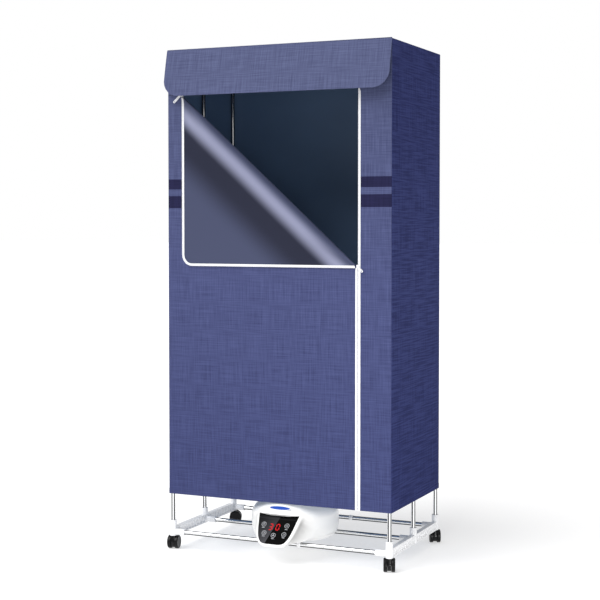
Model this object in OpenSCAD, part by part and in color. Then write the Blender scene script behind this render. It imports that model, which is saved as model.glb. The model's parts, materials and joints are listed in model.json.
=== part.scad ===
// Free-standing drying cabinet: a cloth cover over a tube frame on casters, with a
// warm-air unit that sits on the base bars and blows up through the cover's floor.
// X runs to the right, Y to the back and Z up. The origin is on the floor, in the
// middle of the frame's footprint.

/* [Cover] */
// Width over the side panels
cover_w = 716; // [640:1:860]
// Depth over the front and back panels
cover_d = 418; // [400:1:520]
// Height of the roof above the floor
cover_top = 1500; // [1350:1:1700]
// Height of the bottom hem above the floor
hem_z = 170; // [168:1:174]
// Thickness of the cloth
cloth_t = 1.2; // [0.8:0.1:1.6]
// Gap between the cloth and what it hangs over
cloth_gap = 0.3; // [0.2:0.05:0.6]
// Width of the front strip beside the side zip
strip_w = 102; // [80:1:140]
// Height of the hanging valance
valance_drop = 139; // [100:1:180]
// How far the valance's lower edge stands off the front
valance_flare = 27; // [12:1:40]
// Radius of the valance's lower corners
valance_corner_r = 50; // [20:1:90]
// Radius of the piping that the valance hangs from
piping_r = 1.2; // [1:0.1:1.5]

/* [Door] */
// Distance from the cover's left edge to the fold's upper end
fold_inset = 51.2; // [42:0.1:90]
// Height where the fold meets the side zip
fold_end_z = 864; // [780:1:940]
// Height of the folded corner's lower edge
flap_bottom_z = 858; // [760:1:860]
// Distance from the cover's left edge to the folded corner's left edge
flap_inset = 49.5; // [40:0.5:54]
// Radius of the folded corner
flap_corner_r = 33; // [15:1:60]
// Radius of the soft roll along the fold
roll_r = 18; // [10:1:20]
// Width over the roll down to the flat of the folded corner
roll_w = 100; // [60:1:120]
// Distance from each end of the fold to the full roll
roll_taper = 150; // [110:1:200]

/* [Zip] */
// Height of the top zip above the valance's lower edge, which hides it
zip_over_edge = 5; // [2:0.5:12]
// Width of each zip tape
tape_w = 6; // [4:0.5:8]
// Thickness of the zip tape
tape_t = 0.8; // [0.5:0.1:1]
// Width of the slit between the tapes
slit_w = 1; // [0.8:0.1:1.6]
// Length of a slider along the zip
slider_len = 13; // [10:0.5:16]
// Width of a slider across the zip
slider_w = 9; // [7:0.5:10]
// Thickness of each slider plate
slider_t = 0.8; // [0.6:0.1:1]
// Length of the side zip's pull tab
side_tab_len = 21; // [14:0.5:26]
// Length of the top zip's pull tab
top_tab_len = 33; // [20:0.5:36]
// Width of the pull tabs
tab_w = 7; // [6:0.5:9]
// Thickness of the pull tabs
tab_t = 1.4; // [1:0.1:1.6]
// Distance from the cover's left edge to the top slider
top_slider_inset = 46; // [36:1:50]
// Diameter of the pull tabs' pins
tab_pin_d = 1.4; // [1.2:0.1:1.8]

/* [Frame] */
// Outside diameter of the tubes
tube_d = 13; // [10:0.5:14]
// Wall thickness of the tubes
tube_wall = 0.8; // [0.6:0.1:1.2]
// Radial clearance of a tube or pin in its socket
fit = 0.05; // [0.02:0.01:0.1]
// Wall thickness of the sockets under the cover
sleeve_wall = 1.15; // [1:0.05:2]
// Outside diameter of the base sockets
base_socket_d = 20.6; // [18:0.1:26]
// Outside diameter of the base collars that hold the bars
base_collar_d = 19; // [17:0.1:24]
// Height of the underside of the base rails
rail_bottom = 41; // [40:1:46]
// Height of the base rails' beams
rail_h = 26; // [18:1:30]
// Width of the base rails' beams
rail_w = 15; // [12:1:18]
// Height of the base sockets' mouths
base_socket_top = 88; // [82:1:110]
// Height of the base bars' axis
base_bar_z = 53; // [52:1:56]
// Distance from a post's axis to the inner end of a base collar
base_collar_reach = 41; // [30:1:60]
// Distance from a post's axis to the inner end of an upper collar
collar_reach = 34; // [24:1:60]
// Place of the base bars' joiners along X
joiner_x = 70; // [60:1:110]
// Length of the joiners
joiner_len = 11; // [8:1:20]
// Outside diameter of the joiners
joiner_d = 16.4; // [16:0.1:17]
// Height of the middle brackets
middle_z = 800; // [600:1:1000]
// Height of the middle and top brackets' sleeves
sleeve_h = 40; // [30:1:60]
// Height of the middle and top brackets' beams
bracket_h = 16; // [10:1:24]
// Width of the middle and top brackets' beams
bracket_w = 10; // [6:1:14]
// Distance of the hanging rails' axis below the roof
rail_drop = 20; // [16:1:26]

/* [Heater] */
// Place of the warm-air unit's axis along X
heater_x = 16; // [-20:1:30]
// How far the warm-air unit's axis stands in front of halfway between its two bars
heater_lead = 8.1; // [4.1:0.1:10.1]
// Largest radius of the body
heater_r = 129; // [120:1:130]
// Radius of the flat underside
heater_base_r = 118; // [112:1:120]
// Radius of the body's flat top
heater_top_r = 84; // [82:1:88]
// Height of the body's flat top above its underside
heater_h = 117.5; // [115:0.5:120]
// Height of the lower shell
pan_h = 13.5; // [12:0.5:16]
// Wall thickness of the shells
shell_t = 2.5; // [2:0.1:3]
// Height of the runners that stand on the base bars
foot_h = 2.9; // [2.6:0.1:4]
// Width of the runners
foot_w = 12; // [8:1:16]
// Half width of the glass at its top edge
glass_hw = 63.8; // [50:0.1:66]
// How much narrower each half of the glass is at its lower end
glass_taper = 17; // [0:0.5:22]
// Length of the glass down the slanted front
glass_len = 95; // [80:1:100]
// Thickness of the glass
glass_t = 2; // [1.5:0.1:2.4]
// Width of the rim around the glass
glass_rim = 5; // [4:0.5:8]
// How far the glass's top edge dips in the middle
glass_dip = 6; // [2:0.5:10]
// Lean of the slanted front from the vertical
glass_lean = 36.9; // [30:0.1:42]
// Height of the glass's top edge above the underside
glass_top_h = 77.2; // [70:0.1:80]
// Distance of the glass's top edge in front of the unit's axis
glass_reach = 110.8; // [106:0.1:114]
// Outside radius of the air duct
duct_r = 80; // [74:1:80]
// Wall thickness of the duct
duct_wall = 2.5; // [2:0.1:3]
// Height of the heating element
element_h = 12; // [8:1:18]
// Radius over the fan blades
fan_r = 72; // [60:1:73]
// Number of fan blades
fan_blades = 7; // [5:1:9]
// Radius of the fan's hub
hub_r = 14; // [10:1:18]
// Radius of the motor
motor_r = 20; // [16:1:24]
// Height of the motor
motor_h = 32; // [24:1:36]
// Radius of the motor's shaft
shaft_r = 2.5; // [2:0.1:3.5]
// Width of the ribs in the outlet grille
grille_rib = 2.5; // [2:0.1:4]
// Radius of the screws' shanks
screw_r = 1.5; // [1.2:0.1:2]
// Width of the power inlet
inlet_w = 24; // [20:1:30]
// Height of the power inlet
inlet_h = 18; // [14:1:22]

/* [Casters] */
// Diameter of the wheels
wheel_d = 40; // [36:1:40]
// Width of one wheel
wheel_w = 11; // [8:0.5:13]
// Width of the hood's web between the wheels
web_w = 10.5; // [8:0.5:14]
// Side clearance between wheel and web
wheel_gap = 0.5; // [0.3:0.1:1]
// Radius of the wheel axle
axle_r = 2.5; // [2:0.1:3]
// Radius of the swivel stem
stem_r = 4; // [3:0.1:4.5]
// Distance from the swivel axis to the wheel axle
trail = 7; // [0:0.5:10]

/* [Hidden] */

$fn = 64;
hull_fn = 72;
far = 400;           // longer than any cut needs
slip = 0.1;          // gap between faces that meet without a fit
eps = 0.01;

cloth = "#4b5087";
cloth_dark = "#343966";
lining = "#545878";
white = "#f1f1f1";
steel = "#c9ccd0";
black = "#1a1a1c";

// The cover's faces
half_w = cover_w / 2;
half_d = cover_d / 2;
front_y = -half_d;
inner_w = half_w - cloth_t;
inner_d = half_d - cloth_t;
wall_top = cover_top - cloth_t;
valance_z = cover_top - valance_drop;

// The frame's axes
tube_r = tube_d / 2;
bore_r = tube_r + fit;
sleeve_r = bore_r + sleeve_wall;
post_x = inner_w - cloth_gap - sleeve_r;
post_y = inner_d - cloth_gap - sleeve_r;
post_ys = [-post_y, 0, post_y];
web_t = 2;           // wall between two tubes that meet in a sleeve
seat_t = 4.5;        // plastic between a base bar and a post's foot
stem_roof = 3;       // plastic between a post's foot and a caster's stem
stop_t = 1.5;        // plastic between a post and the end of an upper bar
post_seat = base_bar_z + tube_r + seat_t;
stem_top = post_seat - stem_roof;
bar_stop = base_socket_d / 2 + web_t;
sleeve_stop = sleeve_r + stop_t;
top_bar_z = cover_top - rail_drop;
top_sleeve_top = wall_top - cloth_gap;
pocket_depth = 2;    // the hollows in the base rails' faces
pocket_rib = 4;
pockets = 10;        // in each bay of a base rail
post_top = top_sleeve_top - web_t;
bar_end = post_x - bar_stop;
upper_bar_end = post_x - sleeve_stop;

// The zips and the fold
zip_x = half_w - strip_w;
zip_z = valance_z + zip_over_edge;
slit = slit_w / 2;
fold_x = -half_w + fold_inset;
fold_run = zip_x - fold_x;
fold_fall = zip_z - fold_end_z;
fold_angle = atan2(fold_fall, fold_run);
fold_len = sqrt(fold_run * fold_run + fold_fall * fold_fall);
fold_back = 3;       // the folded corner's edge behind the fold line
flap_gap = 3.5;      // between the folded corner and the sliders
flap_left = -half_w + flap_inset;
flap_top = zip_z - slider_w / 2 - flap_gap;
flap_right = zip_x - slider_w / 2 - flap_gap;
flap_h = 1;          // the folded corner's height over the door
roll_clear = 0.4;    // the roll's height over the door
roll_back = 1;       // the roll's back behind the fold line
roll_tip_r = 1.2;
roll_tip = 42;       // distance from the fold's ends to the roll's tips
roll_edge = 1;       // thickness of the roll's lower edge, and its gap to the tape
// Distance from the fold's lower end where the roll's edge clears the tape below it
low_taper = max(roll_taper, (roll_w * cos(fold_angle) + flap_bottom_z + tape_w + roll_edge
    - fold_end_z) / sin(fold_angle));
tape_end = 2;        // between the door's tape and the fold
slider_below = 3;    // the side slider's place below the fold's end
slit_end = 1;        // the slit's length beyond the top slider
slider_x = -half_w + top_slider_inset;
slider_z = fold_end_z - slider_below;
slit_left = slider_x - slider_len / 2 - slit_end;
slider_gap = 0.3;    // between a slider's plate and the tapes
neck_w = slit_w - slider_gap;
slider_lift = tape_t + slider_gap;
tab_pin_r = tab_pin_d / 2;
tab_eye_wall = 0.7;
tab_gap = 0.2;       // between a pull tab's eye and the slider
tab_eye_r = tab_pin_r + tab_eye_wall;
tab_h = slider_lift + slider_t + tab_eye_r + tab_gap;
tab_eye_w = 4;
tab_root = 4;        // from the pin to the tab's blade
tab_hole_r = 1.6;
tab_hole_edge = 1;   // between the blade's round end and its hole
ear_w = 1;
ear_over = tab_pin_r + 0.4;
side_tab_turn = -42;
top_tab_turn = -137;

// The warm-air unit
heater_y = -post_y / 2 - heater_lead;
heater_z = base_bar_z + tube_r + slip + foot_h;
pan_top = heater_z + pan_h;
heater_top = heater_z + heater_h;
glass_z = heater_z + glass_top_h;
glass_y = heater_y - glass_reach;
pan_step = 4;        // the pan's mouth inside the body's largest radius
body_rings = [
    // height above the underside, radius
    [pan_h + slip, heater_r - pan_step], [28, heater_r], [72, heater_r - 1],
    [90, heater_r - 13], [103, heater_r - 30], [heater_h, heater_top_r]
];
slope_depth = 9;     // how deep the slanted front reaches into the body
glass_power = 5;     // of the glass's lower corners: higher is squarer
duct_in = duct_r - duct_wall;
duct_top = heater_top - shell_t - 2;
pan_floor_t = 3;
pan_floor = heater_z + pan_floor_t;
element_drop = 20;   // from the duct's mouth down to the heating element
element_z = duct_top - element_h - element_drop;
element_lip = 4;     // width of the ledge that carries the element
motor_z = pan_floor + 5;
motor_rim = 2;       // the pan's boss round the motor
fan_gap = 4;         // between the motor and the fan
fan_z = motor_z + motor_h + fan_gap;
fan_h = 18;
blade_t = 1.6;
blade_pitch = 32;
blade_chord = 26;
boss_r = 5;
boss_ring = heater_r - 19;
screw_hold = 8;      // how far the screws enter the upper shell's bosses
screw_head_r = 3.2;
screw_head_h = 2.4;
screw_sink = 0.6;    // from the underside to the screws' heads
outlet_rim = 8;
outlet_r = heater_top_r - outlet_rim;
grille_t = 2.4;
grille_pitch = 15;
display_w = 72;      // the window behind the glass
display_l = 24;
display_down = 56;   // from the glass's top edge to the window's lower edge
board_rim = 4;       // the display board's edge round the window
board_t = 1.6;
foot_xs = [-36, 36]; // the runners' places beside the axis
foot_front = 5;      // how far the runners pass the front bar's axis
foot_back = 2;       // how far they pass the middle bar's axis
inlet_z = heater_z + 25;
inlet_d = 15;
inlet_flange = 2;
inlet_wall = 3;
board_z = pan_floor + 6;
board_w = 56;
board_d = 26;
board_gap = 4;       // between the duct and the control board
board_y = heater_y - duct_r - board_gap - board_d / 2;
board_post_r = 2.5;
intake_slots = 24;
intake_w = 3.6;

// The casters: which side, which end, and how far each has swivelled
swivels = [[-1, -1, 10], [1, -1, 20], [-1, 1, -65], [1, 1, 25]];
axle_z = wheel_d / 2;
hood_gap = 0.3;      // between a hood and the base rail
hood_inset = 3;      // the hood's round back inside the wheels' edge
hood_neck_r = 9;
stem_root = 6;       // from the axle's height to the stem's pressed-in end
tread_r = 3;         // rounding of the wheels' outer edge
hood_top = rail_bottom - hood_gap;
wheel_x = web_w / 2 + wheel_gap;

// ---- Helpers -------------------------------------------------------------

module tube_z(x, y, z0, z1) {
    translate([x, y, z0]) difference() {
        cylinder(r = tube_r, h = z1 - z0);
        translate([0, 0, -1]) cylinder(r = tube_r - tube_wall, h = z1 - z0 + 2);
    }
}

module tube_x(x0, x1, y, z) {
    translate([x0, y, z]) rotate([0, 90, 0]) tube_z(0, 0, 0, x1 - x0);
}

module rod_x(x0, x1, y, z, r) {
    translate([x0, y, z]) rotate([0, 90, 0]) cylinder(r = r, h = x1 - x0);
}

// A sheet in the front's plane: out is how far its back stands in front of the panel
module front_sheet(out, t) {
    translate([0, front_y - out, 0]) rotate([90, 0, 0]) linear_extrude(t) children();
}

module rect(x0, x1, z0, z1) {
    translate([x0, z0]) square([x1 - x0, z1 - z0]);
}

function arc(cx, cy, r, a0, a1, n = 16) =
    [for (i = [0:n]) [cx + r * cos(a0 + (a1 - a0) * i / n), cy + r * sin(a0 + (a1 - a0) * i / n)]];

// ---- Frame ---------------------------------------------------------------

module rail_pockets(x) {
    bay = post_y - base_socket_d;
    pitch = bay / pockets;
    for (side = [-1, 1], i = [0:pockets - 1], face = [-1, 1])
        translate([
            x + face * rail_w / 2 - pocket_depth,
            side * (post_y / 2) - bay / 2 + i * pitch + pocket_rib / 2,
            rail_bottom + pocket_rib
        ]) cube([2 * pocket_depth, pitch - pocket_rib, rail_h - 2 * pocket_rib]);
}

module base_rail(side) {
    x = side * post_x;
    inward = side > 0 ? -90 : 90;
    color(white) difference() {
        union() {
            translate([x - rail_w / 2, -post_y, rail_bottom]) cube([rail_w, 2 * post_y, rail_h]);
            for (y = post_ys) {
                translate([x, y, rail_bottom])
                    cylinder(d = base_socket_d, h = base_socket_top - rail_bottom);
                translate([x, y, base_bar_z]) rotate([0, inward, 0])
                    cylinder(d = base_collar_d, h = base_collar_reach);
            }
        }
        rail_pockets(x);
        for (y = post_ys) {
            translate([x, y, post_seat]) cylinder(r = bore_r, h = far);
            translate([x - side * bar_stop, y, base_bar_z]) rotate([0, inward, 0])
                cylinder(r = bore_r, h = far);
        }
        for (y = [-post_y, post_y])
            translate([x, y, 0]) cylinder(r = stem_r + fit, h = stem_top + fit);
    }
}

module base_bar(y) {
    color(steel) {
        tube_x(-bar_end, joiner_x - eps, y, base_bar_z);
        tube_x(joiner_x + eps, bar_end, y, base_bar_z);
    }
}

module base_bar_joiners() {
    color(white) for (y = post_ys)
        translate([joiner_x - joiner_len / 2, y, base_bar_z]) rotate([0, 90, 0]) difference() {
            cylinder(d = joiner_d, h = joiner_len);
            translate([0, 0, -1]) cylinder(r = bore_r, h = joiner_len + 2);
        }
}

module post(x, y) {
    color(steel) {
        tube_z(x, y, post_seat, middle_z - web_t / 2);
        tube_z(x, y, middle_z + web_t / 2, post_top);
    }
}

// A bracket under the cover: sleeves for three posts, a beam, and collars for bars
module bracket(side, z0, z1, beam_z, bar_z, bar_ys) {
    x = side * post_x;
    inward = side > 0 ? -90 : 90;
    union() {
        translate([x - bracket_w / 2, -post_y, beam_z])
            cube([bracket_w, 2 * post_y, bracket_h]);
        for (y = post_ys)
            translate([x, y, z0]) cylinder(r = sleeve_r, h = z1 - z0);
        for (y = bar_ys)
            translate([x, y, bar_z]) rotate([0, inward, 0])
                cylinder(r = sleeve_r, h = collar_reach);
    }
}

module bar_bores(side, bar_z, bar_ys) {
    for (y = bar_ys)
        translate([side * (post_x - sleeve_stop), y, bar_z])
            rotate([0, side > 0 ? -90 : 90, 0]) cylinder(r = bore_r, h = far);
}

module middle_bracket(side) {
    color(white) difference() {
        bracket(side, middle_z - sleeve_h / 2, middle_z + sleeve_h / 2,
            middle_z - bracket_h / 2, middle_z, [-post_y, post_y]);
        for (y = post_ys) {
            translate([side * post_x, y, middle_z + web_t / 2]) cylinder(r = bore_r, h = far);
            translate([side * post_x, y, middle_z - web_t / 2 - far])
                cylinder(r = bore_r, h = far);
        }
        bar_bores(side, middle_z, [-post_y, post_y]);
    }
}

module top_bracket(side) {
    color(white) difference() {
        bracket(side, top_sleeve_top - sleeve_h, top_sleeve_top,
            top_bar_z - bracket_h / 2, top_bar_z, post_ys);
        for (y = post_ys)
            translate([side * post_x, y, post_top - far]) cylinder(r = bore_r, h = far);
        bar_bores(side, top_bar_z, post_ys);
    }
}

module middle_bars() {
    color(steel) for (y = [-post_y, post_y])
        tube_x(-upper_bar_end, upper_bar_end, y, middle_z);
}

module top_bars() {
    color(steel) for (y = [-post_y, post_y])
        tube_x(-upper_bar_end, upper_bar_end, y, top_bar_z);
}

module hanging_rail() {
    color(steel) tube_x(-upper_bar_end, upper_bar_end, 0, top_bar_z);
}

// ---- Cover ---------------------------------------------------------------

module cover_side(side) {
    color(cloth_dark)
        translate([side > 0 ? inner_w : -half_w, -half_d, hem_z])
            cube([cloth_t, cover_d, wall_top - hem_z]);
}

module cover_back() {
    color(cloth) translate([-inner_w, inner_d, hem_z])
        cube([2 * inner_w, cloth_t, wall_top - hem_z]);
}

// The roof, with the piping along its front edge
module cover_roof() {
    color(cloth) union() {
        translate([-half_w, -half_d, wall_top]) cube([cover_w, cover_d, cloth_t]);
        rod_x(-half_w, half_w, front_y - piping_r, cover_top, piping_r);
        translate([-half_w, front_y - piping_r, wall_top]) cube([cover_w, 2 * piping_r, cloth_t]);
    }
}

// The floor of the cover closes round the warm-air unit
module floor_cloth() {
    color(lining) translate([0, 0, hem_z]) difference() {
        translate([-inner_w, -inner_d, 0]) cube([2 * inner_w, 2 * inner_d, cloth_t]);
        translate([heater_x, heater_y, -1]) cylinder(r = heater_neck(), h = cloth_t + 2, $fn = 96);
        for (x = [-post_x, post_x], y = post_ys)
            translate([x, y, -1]) cylinder(r = tube_r + cloth_gap, h = cloth_t + 2);
    }
}

// The body's radius where the floor meets it: its round shoulder, or the glass's upper
// corners, which stand out further
function heater_neck() =
    let (
        z = hem_z - heater_z,
        top = body_rings[5],
        shoulder = body_rings[4],
        corner = [
            glass_top_h + glass_rim * cos(glass_lean),
            norm([glass_hw + glass_rim, glass_reach - glass_rim * sin(glass_lean)])
        ]
    )
    max([for (low = [shoulder, corner])
        top[1] + (low[1] - top[1]) * (top[0] - z) / (top[0] - low[0])]) + cloth_gap;

module front_header() {
    color(cloth) front_sheet(-cloth_t, cloth_t)
        rect(-inner_w, inner_w, zip_z + slit, wall_top);
}

module front_strip_right() {
    color(cloth) front_sheet(-cloth_t, cloth_t)
        rect(zip_x + slit, inner_w, hem_z, zip_z + slit);
}

// The door below the fold, with the strip at its left that is never unzipped
module door_panel() {
    run = fold_back / sin(fold_angle);
    right = zip_x - slit;
    color(cloth) front_sheet(-cloth_t, cloth_t) {
        polygon([
            [-inner_w, hem_z], [right, hem_z],
            [right, fold_end_z - fold_back / cos(fold_angle)],
            [fold_x - run, zip_z - slit], [-inner_w, zip_z - slit]
        ]);
        rect(-inner_w, slit_left, zip_z - slit - eps, zip_z + slit);
    }
}

module flap_outline(inset = 0) {
    d = fold_back + inset;
    left = flap_left + inset;
    bottom = flap_bottom_z + inset;
    r = max(1, flap_corner_r - inset);
    top = flap_top - inset;
    right = flap_right - inset;
    function fold_at(x) = fold_end_z - d / cos(fold_angle) + (zip_x - x) * tan(fold_angle);
    intersection() {
        polygon(concat(
            [[left, top], [right, top], [right, bottom]],
            arc(left + r, bottom + r, r, 270, 180)
        ));
        polygon([
            [left, fold_at(left)], [right, fold_at(right)],
            [right, bottom - 1], [left, bottom - 1]
        ]);
    }
}

module roll_end(along, r) {
    translate([along, -(roll_clear + r), -(r + roll_back)]) rotate([0, 90, 0])
        cylinder(r = r, h = 1, center = true, $fn = 32);
}

// The soft roll, in the fold's own frame: X along it, Z across it, out towards -Y
module fold_roll() {
    translate([fold_x, front_y, zip_z]) rotate([0, fold_angle, 0]) hull() {
        roll_end(roll_tip, roll_tip_r);
        roll_end(roll_taper, roll_r);
        roll_end(fold_len - low_taper, roll_r);
        roll_end(fold_len - roll_tip, roll_tip_r);
        translate([roll_taper, -flap_h - cloth_t, -roll_w])
            cube([fold_len - roll_taper - low_taper, cloth_t, roll_edge]);
    }
}

module door_flap() {
    color(lining) union() {
        front_sheet(flap_h, cloth_t) flap_outline();
        fold_roll();
    }
}

module valance() {
    lean = asin(valance_flare / valance_drop);
    len = valance_drop / cos(lean);
    r = valance_corner_r;
    top = -piping_r - cloth_gap;
    color(cloth) translate([0, front_y - piping_r, cover_top]) rotate([-lean, 0, 0])
        translate([0, cloth_t / 2, 0]) rotate([90, 0, 0]) linear_extrude(cloth_t)
            polygon(concat(
                [[-half_w, top], [half_w, top]],
                arc(half_w - r, r - len, r, 0, -90),
                arc(r - half_w, r - len, r, 270, 180)
            ));
}

// ---- Zips ----------------------------------------------------------------

module zip_tape_frame() {
    color(white) front_sheet(0, tape_t) {
        rect(zip_x + slit, zip_x + slit + tape_w, hem_z, zip_z + slit + tape_w);
        rect(slit_left, zip_x + slit + tape_w, zip_z + slit, zip_z + slit + tape_w);
    }
}

module zip_tape_door() {
    top = fold_end_z - fold_back / cos(fold_angle);
    color(white) front_sheet(0, tape_t) rect(zip_x - slit - tape_w, zip_x - slit, hem_z, top - tape_end);
}

module zip_tape_flap() {
    color(white) front_sheet(flap_h + cloth_t, tape_t) difference() {
        flap_outline();
        flap_outline(tape_w);
        // the fold itself has no tape
        polygon([
            [flap_left + tape_w, flap_top + 1], [zip_x, flap_top + 1],
            [zip_x, flap_bottom_z + tape_w], [flap_right - roll_tip, flap_bottom_z + tape_w],
            [flap_left + tape_w, flap_top - roll_tip]
        ]);
    }
}

// A slider in its own frame: the zip runs along X and the slider faces -Y
module slider(track_turn, tab_turn) {
    depth = cloth_t + slip;
    plate = [slider_len, slider_w];
    color(white) {
        rotate([0, track_turn, 0]) {
            for (out = [slider_lift, -depth - slider_t])
                translate([0, -out, 0]) rotate([90, 0, 0]) linear_extrude(slider_t)
                    square(plate, center = true);
            translate([-slider_len / 4, -slider_lift - eps, -neck_w / 2])
                cube([slider_len / 2, slider_lift + depth + 2 * eps, neck_w]);
        }
        rotate([0, -tab_turn, 0]) {
            ear = tab_eye_w / 2 + tab_gap;
            for (z = [-ear - ear_w, ear])
                translate([-tab_eye_r, -tab_h - ear_over, z])
                    cube([2 * tab_eye_r, tab_h + ear_over - slider_lift - slider_t + eps, ear_w]);
            translate([0, -tab_h, 0])
                cylinder(r = tab_pin_r, h = 2 * (ear + ear_w) - tab_gap, center = true);
        }
    }
}

// A pull tab in the slider's frame: it points along X from its pin
module pull_tab(tab_turn, len) {
    color(white) rotate([0, -tab_turn, 0]) translate([0, -tab_h, 0]) difference() {
        union() {
            cylinder(r = tab_eye_r, h = tab_eye_w, center = true);
            translate([0, -tab_t / 2, -tab_eye_w / 2]) cube([tab_root + 0.5, tab_t, tab_eye_w]);
            translate([tab_root, tab_t / 2, 0]) rotate([90, 0, 0]) linear_extrude(tab_t) {
                translate([0, -tab_w / 2]) square([len - tab_root - tab_w / 2, tab_w]);
                translate([len - tab_root - tab_w / 2, 0]) circle(d = tab_w);
            }
        }
        cylinder(r = tab_pin_r + fit, h = tab_w, center = true);
        translate([len - tab_w / 2 - tab_hole_edge, 0, 0]) rotate([90, 0, 0])
            cylinder(r = tab_hole_r, h = tab_t + 2, center = true);
    }
}

module at_top_slider() {
    translate([slider_x, front_y, zip_z]) children();
}

module at_side_slider() {
    translate([zip_x, front_y, slider_z]) children();
}

// ---- Warm-air unit -------------------------------------------------------

// The glass's outline: its top edge on X, and its length down -Y
module glass_outline(grow) {
    hw = glass_hw + grow;
    len = glass_len + 2 * grow;
    n = 24;
    function half(t) =
        (hw - glass_taper * t) * pow(max(0, 1 - pow(t, glass_power)), 1 / glass_power);
    function down(i) = sin(90 * i / n);
    polygon(concat(
        [for (i = [-8:8]) [i / 8 * hw, grow - glass_dip * (1 - i * i / 64)]],
        [for (i = [1:n]) [half(down(i)), grow - len * down(i)]],
        [for (i = [n - 1:-1:1]) [-half(down(i)), grow - len * down(i)]]
    ));
}

// The slanted front's frame: X across, Y up the slope and Z out of it
module on_slope() {
    translate([heater_x, glass_y, glass_z]) rotate([90 - glass_lean, 0, 0]) children();
}

module body_hull(wall) {
    hull() {
        for (ring = body_rings)
            translate([heater_x, heater_y, heater_z + min(ring[0], heater_h - wall)])
                cylinder(r = ring[1] - wall, h = eps, $fn = hull_fn);
        on_slope() translate([0, 0, -slope_depth]) linear_extrude(slope_depth)
            glass_outline(glass_rim - wall);
    }
}

module above_slope(depth) {
    on_slope() translate([-far / 2, -far / 2, -depth]) cube([far, far, far]);
}

module bosses(r, z0, z1) {
    for (turn = [45:90:315])
        translate([heater_x, heater_y, 0]) rotate(turn) translate([boss_ring, 0, z0])
            cylinder(r = r, h = z1 - z0);
}

module inlet_box(grow, d) {
    translate([heater_x - inlet_w / 2 - grow, heater_y + heater_r - d, inlet_z - grow])
        cube([inlet_w + 2 * grow, d + 0.4, inlet_h + 2 * grow]);
}

module heater_top_shell() {
    color(white) difference() {
        union() {
            difference() {
                body_hull(0);
                difference() {
                    body_hull(shell_t);
                    above_slope(shell_t + 0.5);
                }
            }
            intersection() {
                body_hull(shell_t / 2);
                bosses(boss_r, pan_top + slip, heater_top);
            }
        }
        above_slope(0);
        translate([heater_x, heater_y, 0])
            cylinder(r = heater_r - pan_step + slip, h = pan_top + slip, $fn = hull_fn);
        translate([heater_x, heater_y, duct_top]) cylinder(r = outlet_r, h = far);
        on_slope() translate([0, 0, -glass_t]) linear_extrude(far) glass_outline(slip);
        on_slope() translate([-display_w / 2, -display_down, -2 * slope_depth])
            cube([display_w, display_l, 2 * slope_depth]);
        bosses(screw_r + fit, pan_top - 1, pan_top + screw_hold + 1);
        inlet_box(slip, 2 * inlet_d);
    }
}

// The pan's section: its outside with no wall, and the hollow inside with one
module pan_profile(wall) {
    low = wall > 0 ? pan_floor_t : 0;
    high = wall > 0 ? pan_h + 1 : pan_h;
    polygon([
        [0, low], [heater_base_r - 6 - wall, low],
        [heater_base_r - wall, 5 + wall / 2], [heater_r - pan_step - wall, high],
        [0, high]
    ]);
}

module heater_base_shell() {
    color(white) difference() {
        union() {
            translate([heater_x, heater_y, heater_z]) difference() {
                rotate_extrude($fn = 96) pan_profile(0);
                rotate_extrude($fn = 96) pan_profile(shell_t);
            }
            bosses(boss_r, heater_z + 1, pan_top);
            translate([heater_x, heater_y, heater_z + 1])
                cylinder(r = motor_r + motor_rim, h = motor_z - heater_z - 1);
            for (x = [-1, 1], y = [-1, 1])
                translate([heater_x + x * (board_w / 2 - 4), board_y + y * (board_d / 2 - 4),
                    heater_z + 1]) cylinder(r = board_post_r, h = board_z - heater_z - 1, $fn = 24);
            for (x = foot_xs)
                translate([heater_x + x - foot_w / 2, -post_y - foot_front, heater_z - foot_h])
                    cube([foot_w, post_y + foot_front + foot_back, foot_h + 1]);
        }
        for (i = [0:intake_slots - 1])
            translate([heater_x, heater_y, heater_z - 1]) rotate(i * 360 / intake_slots)
                translate([motor_r + 10, -intake_w / 2, 0])
                    cube([duct_in - element_lip - motor_r - 10, intake_w, pan_floor_t + 2]);
        bosses(screw_r + fit, heater_z - 1, far);
        bosses(screw_head_r + 0.2, heater_z - 1, heater_z + screw_sink + screw_head_h);
    }
}

module heater_screws() {
    color(steel) {
        bosses(screw_r, heater_z + 2, pan_top + screw_hold);
        bosses(screw_head_r, heater_z + screw_sink, heater_z + screw_sink + screw_head_h);
    }
}

module touch_glass() {
    color(black) on_slope() translate([0, 0, slip - glass_t]) linear_extrude(glass_t + 0.2)
        glass_outline(0);
}

module display_board() {
    wall = shell_t + 0.5;
    digit = [14, 16, wall + slip + 0.4 - glass_t];
    color("darkgreen")
        on_slope() translate([-display_w / 2, -display_down, -wall - slip - board_t]) {
            translate([-board_rim, -board_rim, 0])
                cube([display_w + 2 * board_rim, display_l + 2 * board_rim, board_t]);
            for (x = [-digit.x - 2, 2]) translate([display_w / 2 + x, (display_l - digit.y) / 2, 1])
                cube(digit);
        }
}

module control_board() {
    color("darkgreen") translate([heater_x - board_w / 2, board_y - board_d / 2, board_z + slip]) {
        cube([board_w, board_d, board_t]);
        translate([8, 6, 1]) cube([15, 12, 12]);
        translate([30, 8, 1]) cube([8, 10, 9]);
        translate([46, 13, 1]) cylinder(r = 4, h = 14, $fn = 32);
    }
}

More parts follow.
